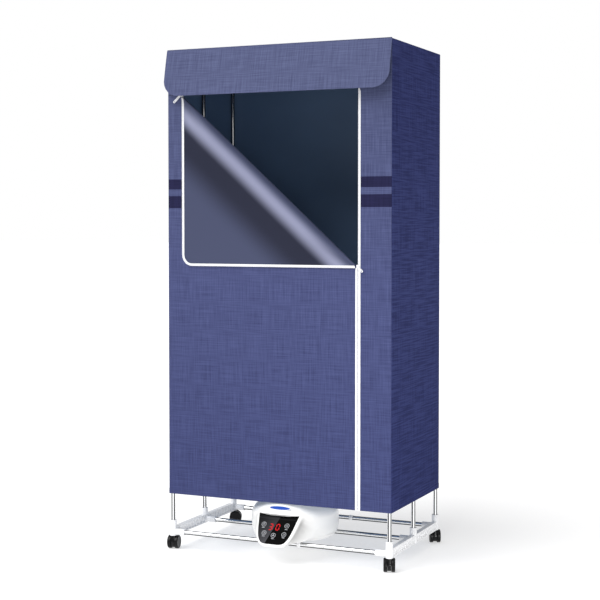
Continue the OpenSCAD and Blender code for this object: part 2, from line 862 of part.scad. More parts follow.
module outlet_grille() {
    color(white) translate([heater_x, heater_y, heater_top + slip]) {
        difference() {
            union() {
                cylinder(r = outlet_r + 5, h = grille_t);
                translate([0, 0, -3]) cylinder(r = outlet_r - slip, h = 4);
            }
            translate([0, 0, -4]) cylinder(r = outlet_r - 3, h = 8);
        }
        intersection() {
            translate([0, 0, -1]) cylinder(r = outlet_r - 2, h = grille_t + 1);
            union() {
                for (r = [grille_pitch - 1:grille_pitch:outlet_r - 8]) difference() {
                    cylinder(r = r, h = grille_t);
                    translate([0, 0, -1]) cylinder(r = r - grille_rib, h = grille_t + 2);
                }
                for (turn = [0:45:135]) rotate(turn)
                    translate([-outlet_r, -grille_rib / 2, 0])
                        cube([2 * outlet_r, grille_rib, grille_t]);
            }
        }
    }
}

module air_duct() {
    color("gray") translate([heater_x, heater_y, 0]) difference() {
        translate([0, 0, pan_floor + slip]) cylinder(r = duct_r, h = duct_top - pan_floor - 1);
        translate([0, 0, pan_floor - 1]) cylinder(r = duct_in - element_lip, h = far);
        translate([0, 0, pan_floor - 1]) cylinder(r = duct_in, h = element_z - pan_floor - 2);
        translate([0, 0, element_z]) cylinder(r = duct_in, h = far);
    }
}

module heating_element() {
    color("silver") translate([heater_x, heater_y, element_z + slip]) {
        for (ring = [[duct_in - slip, 3], [56, 2], [34, 2], [14, 3]]) difference() {
            cylinder(r = ring[0], h = element_h);
            translate([0, 0, -1]) cylinder(r = ring[0] - ring[1], h = element_h + 2);
        }
        for (i = [0:23]) rotate(15 * i)
            translate([12, -0.8, 1]) cube([duct_in - 14, 1.6, element_h - 2]);
    }
}

module fan_motor() {
    color("dimgray") translate([heater_x, heater_y, motor_z + slip]) {
        cylinder(r = motor_r, h = motor_h);
        cylinder(r = shaft_r, h = motor_h + fan_gap + fan_h);
    }
}

module fan_impeller() {
    color("gray") translate([heater_x, heater_y, fan_z]) difference() {
        union() {
            cylinder(r = hub_r, h = fan_h);
            for (i = [0:fan_blades - 1]) rotate(i * 360 / fan_blades)
                translate([hub_r - 3, 0, fan_h / 2]) rotate([blade_pitch, 0, 0])
                    translate([0, -blade_chord / 2, -blade_t / 2])
                        cube([fan_r - hub_r, blade_chord, blade_t]);
        }
        translate([0, 0, -1]) cylinder(r = shaft_r + fit, h = fan_h + 2);
    }
}

module power_inlet() {
    color(black) difference() {
        union() {
            inlet_box(0, inlet_d);
            translate([
                heater_x - inlet_w / 2 - inlet_flange,
                heater_y + heater_r + 0.2,
                inlet_z - inlet_flange
            ]) cube([inlet_w + 2 * inlet_flange, inlet_flange, inlet_h + 2 * inlet_flange]);
        }
        translate([
            heater_x - inlet_w / 2 + inlet_wall,
            heater_y + heater_r - 10,
            inlet_z + inlet_wall
        ]) cube([inlet_w - 2 * inlet_wall, far, inlet_h - 2 * inlet_wall]);
    }
    color(steel) for (x = [-4.3, 4.3])
        translate([heater_x + x, heater_y + heater_r - 11, inlet_z + inlet_h / 2])
            rotate([-90, 0, 0]) cylinder(r = 1.2, h = 9, $fn = 24);
}

// ---- Casters -------------------------------------------------------------

module at_caster(i) {
    translate([swivels[i][0] * post_x, swivels[i][1] * post_y, 0]) rotate(swivels[i][2])
        children();
}

// The hood, with the pressed-in axle and swivel stem
module caster_hood(i) {
    color(black) at_caster(i) {
        difference() {
            union() {
                translate([0, trail, axle_z]) rotate([0, 90, 0])
                    cylinder(r = wheel_d / 2 - hood_inset, h = web_w, center = true);
                translate([0, 0, axle_z]) cylinder(r = hood_neck_r, h = hood_top - axle_z);
                translate([-web_w / 2, 0, axle_z])
                    cube([web_w, trail, wheel_d / 2 - hood_inset]);
            }
            for (side = [-1, 1]) translate([side * wheel_x, trail, axle_z])
                rotate([0, side * 90, 0])
                    cylinder(r = wheel_d / 2 + wheel_gap, h = wheel_w + wheel_gap);
            translate([-far / 2, trail, axle_z]) rotate([0, 90, 0])
                cylinder(r = axle_r, h = far);
            translate([0, 0, axle_z + stem_root]) cylinder(r = stem_r, h = far);
        }
        translate([-wheel_x - wheel_w + 2, trail, axle_z]) rotate([0, 90, 0])
            cylinder(r = axle_r, h = 2 * (wheel_x + wheel_w - 2));
        translate([0, 0, axle_z + stem_root])
            cylinder(r = stem_r, h = stem_top - axle_z - stem_root);
    }
}

module wheel(i, side) {
    r = wheel_d / 2;
    color(black) at_caster(i) translate([side * wheel_x, trail, axle_z])
        rotate([0, side * 90, 0]) difference() {
            rotate_extrude() polygon(concat(
                [[0, 0], [r - 1, 0], [r, 1]],
                arc(r - tread_r, wheel_w - tread_r, tread_r, 0, 90, 8),
                [[r - 8, wheel_w - 0.6], [0, wheel_w - 0.6]]
            ));
            translate([0, 0, -1]) cylinder(r = axle_r + fit, h = wheel_w - 0.9);
        }
}

// ---- What is drawn -------------------------------------------------------

base_rail(-1);  // base_rail_left
base_rail(1);  // base_rail_right
base_bar(-post_y);  // base_bar_front
base_bar(0);  // base_bar_middle
base_bar(post_y);  // base_bar_back
base_bar_joiners();
post(-post_x, -post_y);  // post_front_left
post(post_x, -post_y);  // post_front_right
post(-post_x, 0);  // post_middle_left
post(post_x, 0);  // post_middle_right
post(-post_x, post_y);  // post_back_left
post(post_x, post_y);  // post_back_right
middle_bracket(-1);  // middle_bracket_left
middle_bracket(1);  // middle_bracket_right
middle_bars();
top_bracket(-1);  // top_bracket_left
top_bracket(1);  // top_bracket_right
top_bars();
hanging_rail();
cover_side(-1);  // cover_left
cover_side(1);  // cover_right
cover_back();
cover_roof();
floor_cloth();
front_header();
front_strip_right();
door_panel();
door_flap();
valance();
zip_tape_frame();
zip_tape_door();
zip_tape_flap();
at_top_slider() slider(0, top_tab_turn);  // slider_top
at_side_slider() slider(90, side_tab_turn);  // slider_side
at_top_slider() pull_tab(top_tab_turn, top_tab_len);  // pull_tab_top
at_side_slider() pull_tab(side_tab_turn, side_tab_len);  // pull_tab_side
heater_base_shell();
heater_top_shell();
touch_glass();
display_board();
control_board();
outlet_grille();
air_duct();
heating_element();
fan_motor();
fan_impeller();
power_inlet();
heater_screws();
caster_hood(0);  // caster_hood_front_left
caster_hood(1);  // caster_hood_front_right
caster_hood(2);  // caster_hood_back_left
caster_hood(3);  // caster_hood_back_right
wheel(0, -1);  // wheel_front_left_outer
wheel(0, 1);  // wheel_front_left_inner
wheel(1, 1);  // wheel_front_right_outer
wheel(1, -1);  // wheel_front_right_inner
wheel(2, -1);  // wheel_back_left_outer
wheel(2, 1);  // wheel_back_left_inner
wheel(3, 1);  // wheel_back_right_outer
wheel(3, -1);  // wheel_back_right_inner
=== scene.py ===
import json
import math

import bmesh
import bpy
from mathutils import Matrix, Vector, noise


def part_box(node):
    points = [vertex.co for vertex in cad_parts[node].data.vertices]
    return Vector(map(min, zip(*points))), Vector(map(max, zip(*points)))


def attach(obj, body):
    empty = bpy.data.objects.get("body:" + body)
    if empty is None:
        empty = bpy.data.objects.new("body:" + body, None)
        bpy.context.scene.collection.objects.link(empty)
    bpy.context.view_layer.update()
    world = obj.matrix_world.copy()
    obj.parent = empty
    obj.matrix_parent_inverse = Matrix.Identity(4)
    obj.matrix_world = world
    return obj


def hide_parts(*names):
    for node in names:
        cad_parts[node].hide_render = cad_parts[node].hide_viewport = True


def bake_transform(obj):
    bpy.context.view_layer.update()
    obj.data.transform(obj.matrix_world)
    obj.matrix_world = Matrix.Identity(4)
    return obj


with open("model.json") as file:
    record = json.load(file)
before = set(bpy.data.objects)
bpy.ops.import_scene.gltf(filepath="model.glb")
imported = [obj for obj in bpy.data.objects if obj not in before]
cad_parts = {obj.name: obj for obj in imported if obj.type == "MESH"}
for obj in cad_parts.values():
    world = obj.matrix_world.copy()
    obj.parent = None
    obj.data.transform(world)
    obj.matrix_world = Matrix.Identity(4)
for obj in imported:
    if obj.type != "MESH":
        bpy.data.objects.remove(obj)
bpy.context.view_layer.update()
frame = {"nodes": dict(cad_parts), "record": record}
nodes = frame["nodes"]
slotOf = {part["node"]: part["material_slot"] for part in frame["record"]["subparts"]}
print("frame loaded:", len(nodes), "nodes")

# sizes that the looks share with the frame, in metres
cover = {
    "halfWidth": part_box("cover_right")[1].x,
    "halfDepth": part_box("cover_right")[1].y,
    "hemZ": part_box("cover_right")[0].z,
    "top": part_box("cover_roof")[1].z - 0.0012,  # the piping stands this much over the roof
    "cloth": 0.0012,
    "cornerRadius": 0.004,
}
frontY = -cover["halfDepth"]
door = {
    "zipX": 0.256,
    "zipZ": 1.366,
    "slit": 0.0005,
    "slitLeft": -0.3195,
    "foldX": -0.3068,
    "foldEndZ": 0.864,
    "foldBack": 0.003,
    "flapLeft": -0.3085,
    "flapBottom": 0.858,
    "flapRight": 0.248,
    "flapTop": 1.358,
    "flapCorner": 0.033,
}
foldAngle = math.atan2(door["zipZ"] - door["foldEndZ"], door["zipX"] - door["foldX"])
foldLength = math.hypot(door["zipZ"] - door["foldEndZ"], door["zipX"] - door["foldX"])
foldStart = Vector((door["foldX"], frontY, door["zipZ"]))
foldAlong = Vector((math.cos(foldAngle), 0, -math.sin(foldAngle)))
foldDown = Vector((-math.sin(foldAngle), 0, -math.cos(foldAngle)))
outward = Vector((0, -1, 0))


class Wire:
    def __init__(self, tree, socket):
        self.tree, self.socket = tree, socket

    def math(self, operation, first, second=None):
        made = self.tree.nodes.new("ShaderNodeMath")
        made.operation = operation
        for place, value in enumerate((first, second)):
            if isinstance(value, Wire):
                self.tree.links.new(value.socket, made.inputs[place])
            elif value is not None:
                made.inputs[place].default_value = value
        return Wire(self.tree, made.outputs[0])

    def sine(self):
        return self.math("SINE", self)

    def kept(self):  # held between 0 and 1
        return self.math("MAXIMUM", self.math("MINIMUM", self, 1.0), 0.0)


def wired(operation, swapped):
    def act(self, other=None):
        return self.math(operation, other, self) if swapped else self.math(operation, self, other)
    return act


for sign, operation, swapped in (
        ("add", "ADD", False), ("radd", "ADD", True),
        ("sub", "SUBTRACT", False), ("rsub", "SUBTRACT", True),
        ("mul", "MULTIPLY", False), ("rmul", "MULTIPLY", True), ("truediv", "DIVIDE", False),
        ("gt", "GREATER_THAN", False), ("lt", "LESS_THAN", False), ("abs", "ABSOLUTE", False)):
    setattr(Wire, "__" + sign + "__", wired(operation, swapped))


class Finish:
    def __init__(self, name):
        self.material = bpy.data.materials.new(name)
        self.material.use_nodes = True
        self.tree = self.material.node_tree
        self.tree.nodes.clear()

    def node(self, kind, settings=None, inputs=None, out=0):
        made = self.tree.nodes.new("ShaderNode" + kind)
        for key, value in (settings or {}).items():
            if key == "stops":
                ramp = made.color_ramp
                while len(ramp.elements) < len(value):
                    ramp.elements.new(0.5)
                for element, (place, colour) in zip(ramp.elements, value):
                    element.position, element.color = place, (*colour, 1)
            else:
                setattr(made, key, value)
        for key, value in (inputs or {}).items():
            if isinstance(value, Wire):
                self.tree.links.new(value.socket, made.inputs[key])
            else:
                made.inputs[key].default_value = value
        return Wire(self.tree, made.outputs[out]) if len(made.outputs) else made

    def places(self):  # x, y, z of Object coordinates
        split = self.node("SeparateXYZ", inputs={0: self.node("TexCoord", out="Object")})
        return [Wire(self.tree, socket) for socket in split.socket.node.outputs]

    def along(self, uvName="cloth"):  # the two ways of a piece's own UV map, in metres
        split = self.node("SeparateXYZ", inputs={0: self.node("UVMap", {"uv_map": uvName})})
        return [Wire(self.tree, socket) for socket in split.socket.node.outputs][:2]

    def vector(self, x, y, z=0.0):
        return self.node("CombineXYZ", inputs={0: x, 1: y, 2: z})

    def speckle(self, vector, scale=1.0, detail=2.0, rough=0.5):
        return self.node("TexNoise", inputs={
            "Vector": vector, "Scale": scale, "Detail": detail, "Roughness": rough})

    def specks(self, often, detail):  # the same all ways in Object coordinates
        x, y, z = self.places()
        return self.speckle(self.vector(x * often, y * often, z * often), 1.0, detail)

    def tint(self, factor, first, second, mode="MIX"):
        return self.node("Mix", {"data_type": "RGBA", "blend_type": mode}, {
            0: factor,
            6: first if isinstance(first, Wire) else (*first, 1),
            7: second if isinstance(second, Wire) else (*second, 1)}, out=2)

    def ramp(self, factor, stops, how="LINEAR"):
        made = self.node("ValToRGB", {"stops": stops}, {0: factor})
        made.socket.node.color_ramp.interpolation = how
        return made

    def bump(self, height, depth, strength=1.0):
        return self.node("Bump", inputs={"Strength": strength, "Distance": depth, "Height": height})

    def surface(self, **sockets):  # the shader, with Base_Color for Base Color and so on
        shader = self.node("BsdfPrincipled", inputs={
            key.replace("_", " "): (*value, 1) if isinstance(value, tuple) and len(value) == 3
            else value for key, value in sockets.items()})
        self.node("OutputMaterial", inputs={"Surface": shader})
        return self.material


def shade(code):  # a screen colour such as 4b5087, as linear light
    parts = [int(code[i:i + 2], 16) / 255 for i in (0, 2, 4)]
    return tuple(p / 12.92 if p <= 0.04045 else ((p + 0.055) / 1.055) ** 2.4 for p in parts)


# the cloth's shades, low to high, sit at these heights; the front's rise towards the top is painted light
# falling on the cloth
clothLook = {
    "front": ("3b4167", "464c72", "4e5474"), "side": ("30365f", "373d67", "323863"),
    "valance": ("535978", "535978", "535978"), "stripe": "212140", "paintedLightHeights": (0.25, 0.80, 1.35),
    "stripes": ((1.030, 1.066), (1.086, 1.116)), "contrast": 0.42, "level": 1.32,
    "slubLength": 12.0, "slubWidth": 320.0, "thread": 0.0011,
}


def linenFinish(name, shades, stripes=False, runs=(1.0, 1.0), coarse=1.0, sheen=0.05, shine=0.12):
    finish = Finish(name)
    across, up = finish.along()
    long, wide = clothLook["slubLength"] * coarse, clothLook["slubWidth"] * coarse
    flatRuns = finish.speckle(finish.vector(across * long, up * wide), detail=3)
    tallRuns = finish.speckle(finish.vector(across * wide, up * long, 7.0), detail=3)
    turn = 2 * math.pi / clothLook["thread"]
    threads = (across * turn).sine() * (up * turn).sine()
    cross = (((flatRuns - 0.5) * runs[0] + (tallRuns - 0.5) * runs[1]) * 1.8 + 0.5).kept()
    cloudy = finish.speckle(finish.vector(across * 3.0, up * 3.0, 3.0), detail=3)
    # the colour painted lighter or darker with height, for how the light falls on the cloth
    stops = [(high / 1.5, shade(code)) for high, code in zip(clothLook["paintedLightHeights"], shades)]
    colour = finish.ramp((up / 1.5).kept(), stops)
    if stripes:
        band = sum((up > low) * (up < high) for low, high in clothLook["stripes"])
        colour = finish.tint(band, colour, shade(clothLook["stripe"]))
    depth = 1.0 - (1.0 - cross) * clothLook["contrast"] - cloudy * 0.05 + threads * 0.02
    weave = finish.vector(depth, depth, depth * 0.85 + 0.15)
    colour = finish.tint(1.0, colour, weave, "MULTIPLY")
    colour = finish.tint(1.0, colour, (clothLook["level"],) * 3, "MULTIPLY")
    height = threads * 0.3 + (flatRuns + tallRuns) * 0.9
    return finish.surface(
        Base_Color=colour, Roughness=cross * 0.12 + 0.80, Specular_IOR_Level=shine,
        Sheen_Weight=sheen, Sheen_Roughness=0.5, Sheen_Tint=(0.75, 0.78, 1.0),
        Normal=finish.bump(height, 0.0004, 0.5))


def insideFinish():
    finish = Finish("insideCoating")
    x, y, z = finish.places()
    cloudy = finish.speckle(finish.vector(x, y, z), 9.0, 4)
    fine = finish.speckle(finish.vector(x, y, z), 900.0, 2)
    return finish.surface(
        Base_Color=finish.tint(cloudy, shade("536b8c"), shade("5d779a")),
        Roughness=cloudy * 0.2 + 0.4, Specular_IOR_Level=0.35,
        Normal=finish.bump(fine, 0.0002, 0.4))


foldLook = {  # the coated lining's colours, by the distance from the fold in mm: ridge is a painted highlight along the roll, edge and deep are painted shade beside it and in the hollow under it, and flat and plain are the lining's own colour
    "edge": "454a62", "paintedRidgeHighlight": "9093ac", "deep": "20222f", "flat": "434860",
    "run": [(10, "edge"), (42, "paintedRidgeHighlight"), (79, "deep"), (110, "deep"), (205, "flat")],
    "reach": 0.42, "plain": ("464a62", "4f546e"),
}


def liningFinish(name, folded):  # the coated lining, with the fold's painted highlight and shade or plain
    finish = Finish(name)
    across, down = finish.along()
    fine = finish.speckle(finish.vector(across * 700, down * 700), 1.0, 2)
    cloudy = finish.speckle(finish.vector(across * 5, down * 5), 1.0, 4)
    # ramp stops for the roll's painted highlight and shade
    stops = [(place / 1000 / foldLook["reach"], shade(foldLook[part])) for place, part in foldLook["run"]]
    colour = finish.tint(cloudy, shade(foldLook["plain"][0]), shade(foldLook["plain"][1]))
    if folded:
        colour = finish.ramp((down / foldLook["reach"] + (cloudy - 0.5) * 0.01).kept(), stops, "EASE")
    colour = finish.tint(fine * 0.10, colour, shade("8085a8"))
    return finish.surface(
        Base_Color=colour, Roughness=cloudy * 0.10 + 0.45, Specular_IOR_Level=0.05,
        Normal=finish.bump(fine, 0.00015, 0.35))


def tapeFinish():
    finish = Finish("zipTape")
    across, along = finish.along()
    ribs = (along * (2 * math.pi / 0.0011)).sine() * 0.5 + 0.5
    cords = (across * (2 * math.pi / 0.0015)).sine() * 0.5 + 0.5
    grey = finish.speckle(finish.vector(across * 300, along * 40), 1.0, 3)
    return finish.surface(
        Base_Color=finish.tint(grey * 0.35 + ribs * 0.10, shade("fbfbfc"), shade("dcdde3")),
        Roughness=grey * 0.15 + 0.62, Sheen_Weight=0.2,
        Normal=finish.bump(ribs * cords, 0.0003, 0.6))


def plasticFinish(name, base, shadeColour, rough, bumpDepth=0.0002, coat=0.0, scale=60.0, shine=0.5):
    finish = Finish(name)
    x, y, z = finish.places()
    spot = finish.vector(x, y, z)
    cloudy = finish.speckle(spot, scale / 8, 3)
    fine = finish.speckle(spot, scale * 14, 2)
    wear = finish.speckle(spot, scale, 5, 0.65)
    return finish.surface(
        Base_Color=finish.tint((cloudy * 0.5 + wear * 0.3).kept(), shade(base), shade(shadeColour)),
        Roughness=wear * 0.12 + rough, Specular_IOR_Level=shine, Coat_Weight=coat, Coat_Roughness=0.08,
        Normal=finish.bump(fine, bumpDepth, 0.25))


# the tubes' painted reflections: bright and dark streaks painted into the chrome's colour
chromePaintedReflections = {"bright": "f4f5f6", "dark": "3a3a3a", "lobes": 5, "lobeTurn": 28}


def chromeFinish(name, upright):  # polished tube with painted reflections: dark streaks painted between bright ones, by the way it faces
    finish = Finish(name)
    cloudy = finish.specks(25, 4)
    brush = finish.specks(900, 2)
    facing = finish.node("SeparateXYZ", inputs={0: finish.node("TexCoord", out="Normal")})
    nx, ny, nz = [Wire(finish.tree, socket) for socket in facing.socket.node.outputs]
    if upright:
        turn = math.radians(chromePaintedReflections["lobeTurn"] * chromePaintedReflections["lobes"])
        turned = nx.math("ARCTAN2", nx, ny * -1.0) * chromePaintedReflections["lobes"] - turn
        paintedReflection = (turned.math("COSINE", turned) * 1.3 + 0.62).kept()
    else:
        low = ((nz + 0.40) * 5.0).kept()
        high = ((0.78 - nz) * 9.0).kept()
        edge = ((-0.93 - nz) * 20.0).kept()
        paintedReflection = (low * (high * 0.8 + 0.2) + edge * 0.5).kept()
    return finish.surface(
        Base_Color=finish.tint(paintedReflection, shade(chromePaintedReflections["dark"]), shade(chromePaintedReflections["bright"])),
        Metallic=1.0, Roughness=cloudy * 0.08 + 0.12, Normal=finish.bump(brush, 0.00004, 0.15))


panel = {  # the slanting touch panel: the middle of its top edge, and how far it leans back
    "x": 0.016, "y": -0.2188, "z": 0.1397, "lean": 36.9, "half": 0.0638, "long": 0.095,
    "glossTop": (0.0060, -0.0072), "glossFoot": (-0.0210, -0.0902),
}


def glassFinish():
    finish = Finish("touchGlass")
    x, y, z = finish.places()
    lean = math.radians(panel["lean"])
    across = x - panel["x"]
    up = (y - panel["y"]) * math.sin(lean) + (z - panel["z"]) * math.cos(lean)
    # a painted gloss highlight: the glass is lighter at the left of a slanting line, most of all beside it
    (topX, topUp), (footX, footUp) = panel["glossTop"], panel["glossFoot"]
    slope = (topX - footX) / (topUp - footUp)
    beside = (up - footUp) * slope + footX - across
    paintedGlint = (beside * 2500.0).kept() * (1.0 - beside * 13.0).kept()
    smear = finish.specks(60, 4)
    band = ((up + 0.0165) * 700.0).kept() * (1.0 - (up + 0.0145) * 250.0).kept()
    # the painted gloss highlight, fading upwards, with a faint lighter band across the glass
    paintedGloss = (paintedGlint * ((0.012 - up) * 7.0 + 0.15).kept() + band * 0.10).kept()
    return finish.surface(
        Base_Color=finish.tint(paintedGloss, shade("020202"), shade("4c4c50")),
        Roughness=smear * 0.05 + 0.05, Specular_IOR_Level=0.015)


# pale and soft are the plastic's own tone; deep is a painted shade behind the panel's rim, at depth
# strength
unitShade = {"pale": "f1f1f0", "soft": "e8e8e7", "deep": "a9a8a6", "depth": 0.95}


def unitFinish():  # glossy white, with a painted shade in the hollow behind the panel's rim
    finish = Finish("unitPlastic")
    x, y, z = finish.places()
    lean = math.radians(panel["lean"])
    across, back, over = x - panel["x"], y - panel["y"], z - panel["z"]
    up = back * math.sin(lean) + over * math.cos(lean)
    deep = back * math.cos(lean) - over * math.sin(lean)
    # beside and near mask the painted shade in the hollow behind the rim
    beside = ((abs(across) - 0.032) * 45.0).kept() * (1.0 - (up + 0.022) * 35.0).kept()
    near = ((deep - 0.0015) * 160.0).kept() * (1.0 - (deep - 0.008) * 24.0).kept()
    cloudy = finish.specks(6, 3)
    fine = finish.specks(700, 2)
    colour = finish.tint(cloudy, shade(unitShade["pale"]), shade(unitShade["soft"]))
    return finish.surface(
        Base_Color=finish.tint(beside * near * unitShade["depth"], colour, shade(unitShade["deep"])),
        Roughness=cloudy * 0.06 + 0.24, Specular_IOR_Level=0.4, Coat_Weight=0.2, Coat_Roughness=0.1,
        Normal=finish.bump(fine, 0.00004, 0.2))


def boardFinish():
    finish = Finish("circuitBoard")
    x, y, z = finish.places()
    lanes = finish.node("TexVoronoi", {"feature": "DISTANCE_TO_EDGE"}, {
        "Vector": finish.vector(x, y, z), "Scale": 260.0})
    track = (lanes < 0.06)
    return finish.surface(
        Base_Color=finish.tint(track, shade("14532c"), shade("2c7a46")),
        Roughness=track * -0.15 + 0.5, Normal=finish.bump(track, 0.0001, 0.5))


def finMetalFinish():
    finish = Finish("elementMetal")
    x, y, z = finish.places()
    tone = finish.specks(40, 4)
    brush = finish.speckle(finish.vector(x * 30, y * 30, z * 1600), 1.0, 2)
    return finish.surface(
        Base_Color=finish.tint(tone, shade("b9bbbd"), shade("8f9093")), Metallic=0.9,
        Roughness=brush * 0.2 + 0.28, Normal=finish.bump(brush, 0.0001, 0.3))


def screwFinish():
    finish = Finish("screwSteel")
    brush = finish.specks(900, 3)
    return finish.surface(
        Base_Color=finish.tint(brush, shade("a6a8ab"), shade("d2d4d6")), Metallic=1.0,
        Roughness=brush * 0.15 + 0.22, Normal=finish.bump(brush, 0.0001, 0.2))


def glowFinish(name, colour, strength):
    finish = Finish(name)
    grain = finish.specks(500, 2)
    lit = finish.tint(grain * 0.4, shade(colour), tuple(c * 0.75 for c in shade(colour)))
    dull = finish.tint(grain, shade("300406"), shade("200305"))
    return finish.surface(Base_Color=dull, Roughness=0.4, Specular_IOR_Level=0.05,
                          Emission_Color=lit, Emission_Strength=strength)


def inlayFinish():
    finish = Finish("badgeInlay")
    x, y, z = finish.places()
    sweep = ((z - 0.146) / 0.014).kept()
    grain = finish.specks(200, 3)
    return finish.surface(
        Base_Color=finish.tint(sweep * 0.6 + grain * 0.15, shade("163a96"), shade("2a55b8")),
        Roughness=grain * 0.05 + 0.2, Specular_IOR_Level=0.06)


finishes = {
    "frame_plastic": plasticFinish("framePlastic", "f4f4f5", "e3e4e6", 0.28, 0.0001, 0.15),
    "chrome_tube": chromeFinish("chromeBar", False),
    "cover_cloth": linenFinish("coverCloth", clothLook["front"], True),
    # the side cloth is the front's linen, its shades painted darker for the shade on the sides
    "cover_cloth_side": linenFinish(
        "coverClothSidePaintedShade", clothLook["side"], runs=(2.4, 1.4), coarse=0.75, sheen=0.0, shine=0.02),
    "cloth_lining": liningFinish("clothLining", True),
    "zip_tape": tapeFinish(),
    "zip_slider": plasticFinish("zipSlider", "f6f6f8", "d9dbe2", 0.22, 0.0001, 0.4, 200.0),
    "heater_plastic": unitFinish(),
    "touch_glass": glassFinish(),
    "circuit_board": boardFinish(),
    "duct_plastic": plasticFinish("ductPlastic", "4c4c50", "3a3a3e", 0.5, 0.0002),
    "element_metal": finMetalFinish(),
    "motor_case": plasticFinish("motorCase", "57585c", "404145", 0.35, 0.0002, 0.1),
    "fan_plastic": plasticFinish("fanPlastic", "55565b", "434449", 0.42, 0.0002),
    "inlet_plastic": plasticFinish("inletPlastic", "1c1c1e", "2a2a2d", 0.42, 0.0003),
    "screw_steel": screwFinish(),
    "caster_plastic": plasticFinish("casterPlastic", "0a0a0b", "121214", 0.16, 0.0001, 0.0, shine=0.25),
    "wheel_plastic": plasticFinish("wheelPlastic", "080809", "101012", 0.24, 0.0002, 0.0, 120.0, shine=0.2),
}
plainCloth = linenFinish("coverClothPlain", clothLook["front"])
valanceCloth = linenFinish("valanceCloth", clothLook["valance"])
insideCoating, plainLining = insideFinish(), liningFinish("plainLining", False)
whiteThread = plasticFinish("whiteThread", "f0f0f2", "d6d7dc", 0.7, 0.0002, 0.0, 900.0)
teethFinish = plasticFinish("zipTeeth", "e9e9ee", "c3c5cf", 0.25, 0.0001, 0.2, 500.0)
chromePost = chromeFinish("chromePost", True)
markFinish = plasticFinish("panelMark", "a9abb0", "8e9096", 0.35, 0.00002, 0.1, 90.0)
for name, node in nodes.items():
    node.data.materials.clear()
    node.data.materials.append(chromePost if name.startswith("post_") else finishes[slotOf[name]])
print("finishes made:", len(bpy.data.materials))

# moulded pieces have their edges broken, as they come out of the mould
moulding = {"merge": 0.00002, "angle": 40}
moulded = {
    "base_rail": 0.0012, "middle_bracket": 0.0009, "top_bracket": 0.0009, "base_bar_joiners": 0.0006,
    "slider": 0.0005, "pull_tab": 0.0004, "caster_hood": 0.0007, "wheel": 0.0004,
}
for name, node in nodes.items():
    for start, size in moulded.items():
        if name.startswith(start):
            weld = node.modifiers.new("weld", "WELD")
            weld.merge_threshold = moulding["merge"]
            edges = node.modifiers.new("edges", "BEVEL")
            edges.width, edges.segments, edges.limit_method = size, 2, "ANGLE"
            edges.angle_limit = math.radians(moulding["angle"])
            edges.use_clamp_overlap = edges.harden_normals = True


def newPiece(name, bm, materials, smooth=True, tidy=True):
    if tidy:
        bmesh.ops.remove_doubles(bm, verts=bm.verts, dist=1e-6)
        bmesh.ops.recalc_face_normals(bm, faces=bm.faces)
    mesh = bpy.data.meshes.new(name)
    bm.to_mesh(mesh)
    bm.free()
    for material in materials:
        mesh.materials.append(material)
    piece = bpy.data.objects.new(name, mesh)
    bpy.context.scene.collection.objects.link(piece)
    for face in mesh.polygons:
        face.use_smooth = smooth
    return piece


def dress(piece, slot, node=None, body="cabinet"):  # its node hidden and what it rides on; slot is not used
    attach(piece, body)
    if node:
        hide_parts(node)


def steps(start, stop, pitch):  # even places from start to stop, both ends among them
    count = max(1, round(abs(stop - start) / pitch))
    return [start + (stop - start) * i / count for i in range(count + 1)]


def joined(*runs):  # runs of places as one list, with no place twice
    return sorted({round(place, 7) for run in runs for place in run})


def ease(value, low, high):  # 0 at low, 1 at high, smooth between
    part = max(0.0, min(1.0, (value - low) / (high - low)))
    return part * part * (3 - 2 * part)


def wave(x, y, seed, size):  # slow random rise of cloth, never below 0
    spot = Vector((x, y, seed))
    rise = noise.noise(spot * 2.3) * 0.65 + noise.noise(spot * 6.1) * 0.35
    return size * max(0.0, min(1.0, rise * 0.9 + 0.5))


def clothSheet(
        name, acrosses, ups, place, materials, trims=(), cuts=(), wall=None, offset=-1.0, measure=None):
    bm = bmesh.new()
    bmesh.ops.create_grid(bm, x_segments=len(acrosses) - 1, y_segments=len(ups) - 1, size=0.5)
    for v in bm.verts:
        v.co.x = acrosses[round((v.co.x + 0.5) * (len(acrosses) - 1))]
        v.co.y = ups[round((v.co.y + 0.5) * (len(ups) - 1))]
    for spot, way in trims:  # straight cuts of the flat cloth: what lies on the way's side goes
        bmesh.ops.bisect_plane(
            bm, geom=bm.verts[:] + bm.edges[:] + bm.faces[:], dist=1e-7,
            plane_co=(*spot, 0), plane_no=(*way, 0), clear_outer=True)
    uv = bm.loops.layers.uv.new("cloth")
    for face in bm.faces:
        for loop in face.loops:
            flat = loop.vert.co
            loop[uv].uv = measure(flat.x, flat.y) if measure else (flat.x, flat.y)
    for v in bm.verts:
        v.co = place(v.co.x, v.co.y)
    for spot, way in cuts:  # the same once it is in its place
        bmesh.ops.bisect_plane(
            bm, geom=bm.verts[:] + bm.edges[:] + bm.faces[:], dist=1e-7,
            plane_co=spot, plane_no=way, clear_outer=True)
    piece = newPiece(name, bm, materials, tidy=False)
    solid = piece.modifiers.new("wall", "SOLIDIFY")
    solid.thickness = cover["cloth"] if wall is None else wall
    solid.offset = offset
    if len(materials) > 1:
        solid.material_offset = 1
    even = piece.modifiers.new("even", "WEIGHTED_NORMAL")  # the narrow edges don't bend the shading
    even.weight, even.keep_sharp = 100, False
    return piece


def roundOff(x, y, radius, turn, count=7):  # trims that round a corner, whose centre is x, y
    trims = []
    for i in range(count + 1):
        angle = math.radians(turn + 90 * i / count)
        way = (math.cos(angle), math.sin(angle))
        trims.append(((x + way[0] * radius, y + way[1] * radius), way))
    return trims


radius = cover["cornerRadius"]
quarter = radius * math.pi / 2
frontRun = 2 * (cover["halfWidth"] - radius)
sideRun = 2 * (cover["halfDepth"] - radius)
sidesOf = [  # centre of the corner, its turn at the start, and the straight run after it
    ((-1, -1), 225, frontRun), ((1, -1), 270, sideRun), ((1, 1), 0, frontRun), ((-1, 1), 90, sideRun)]


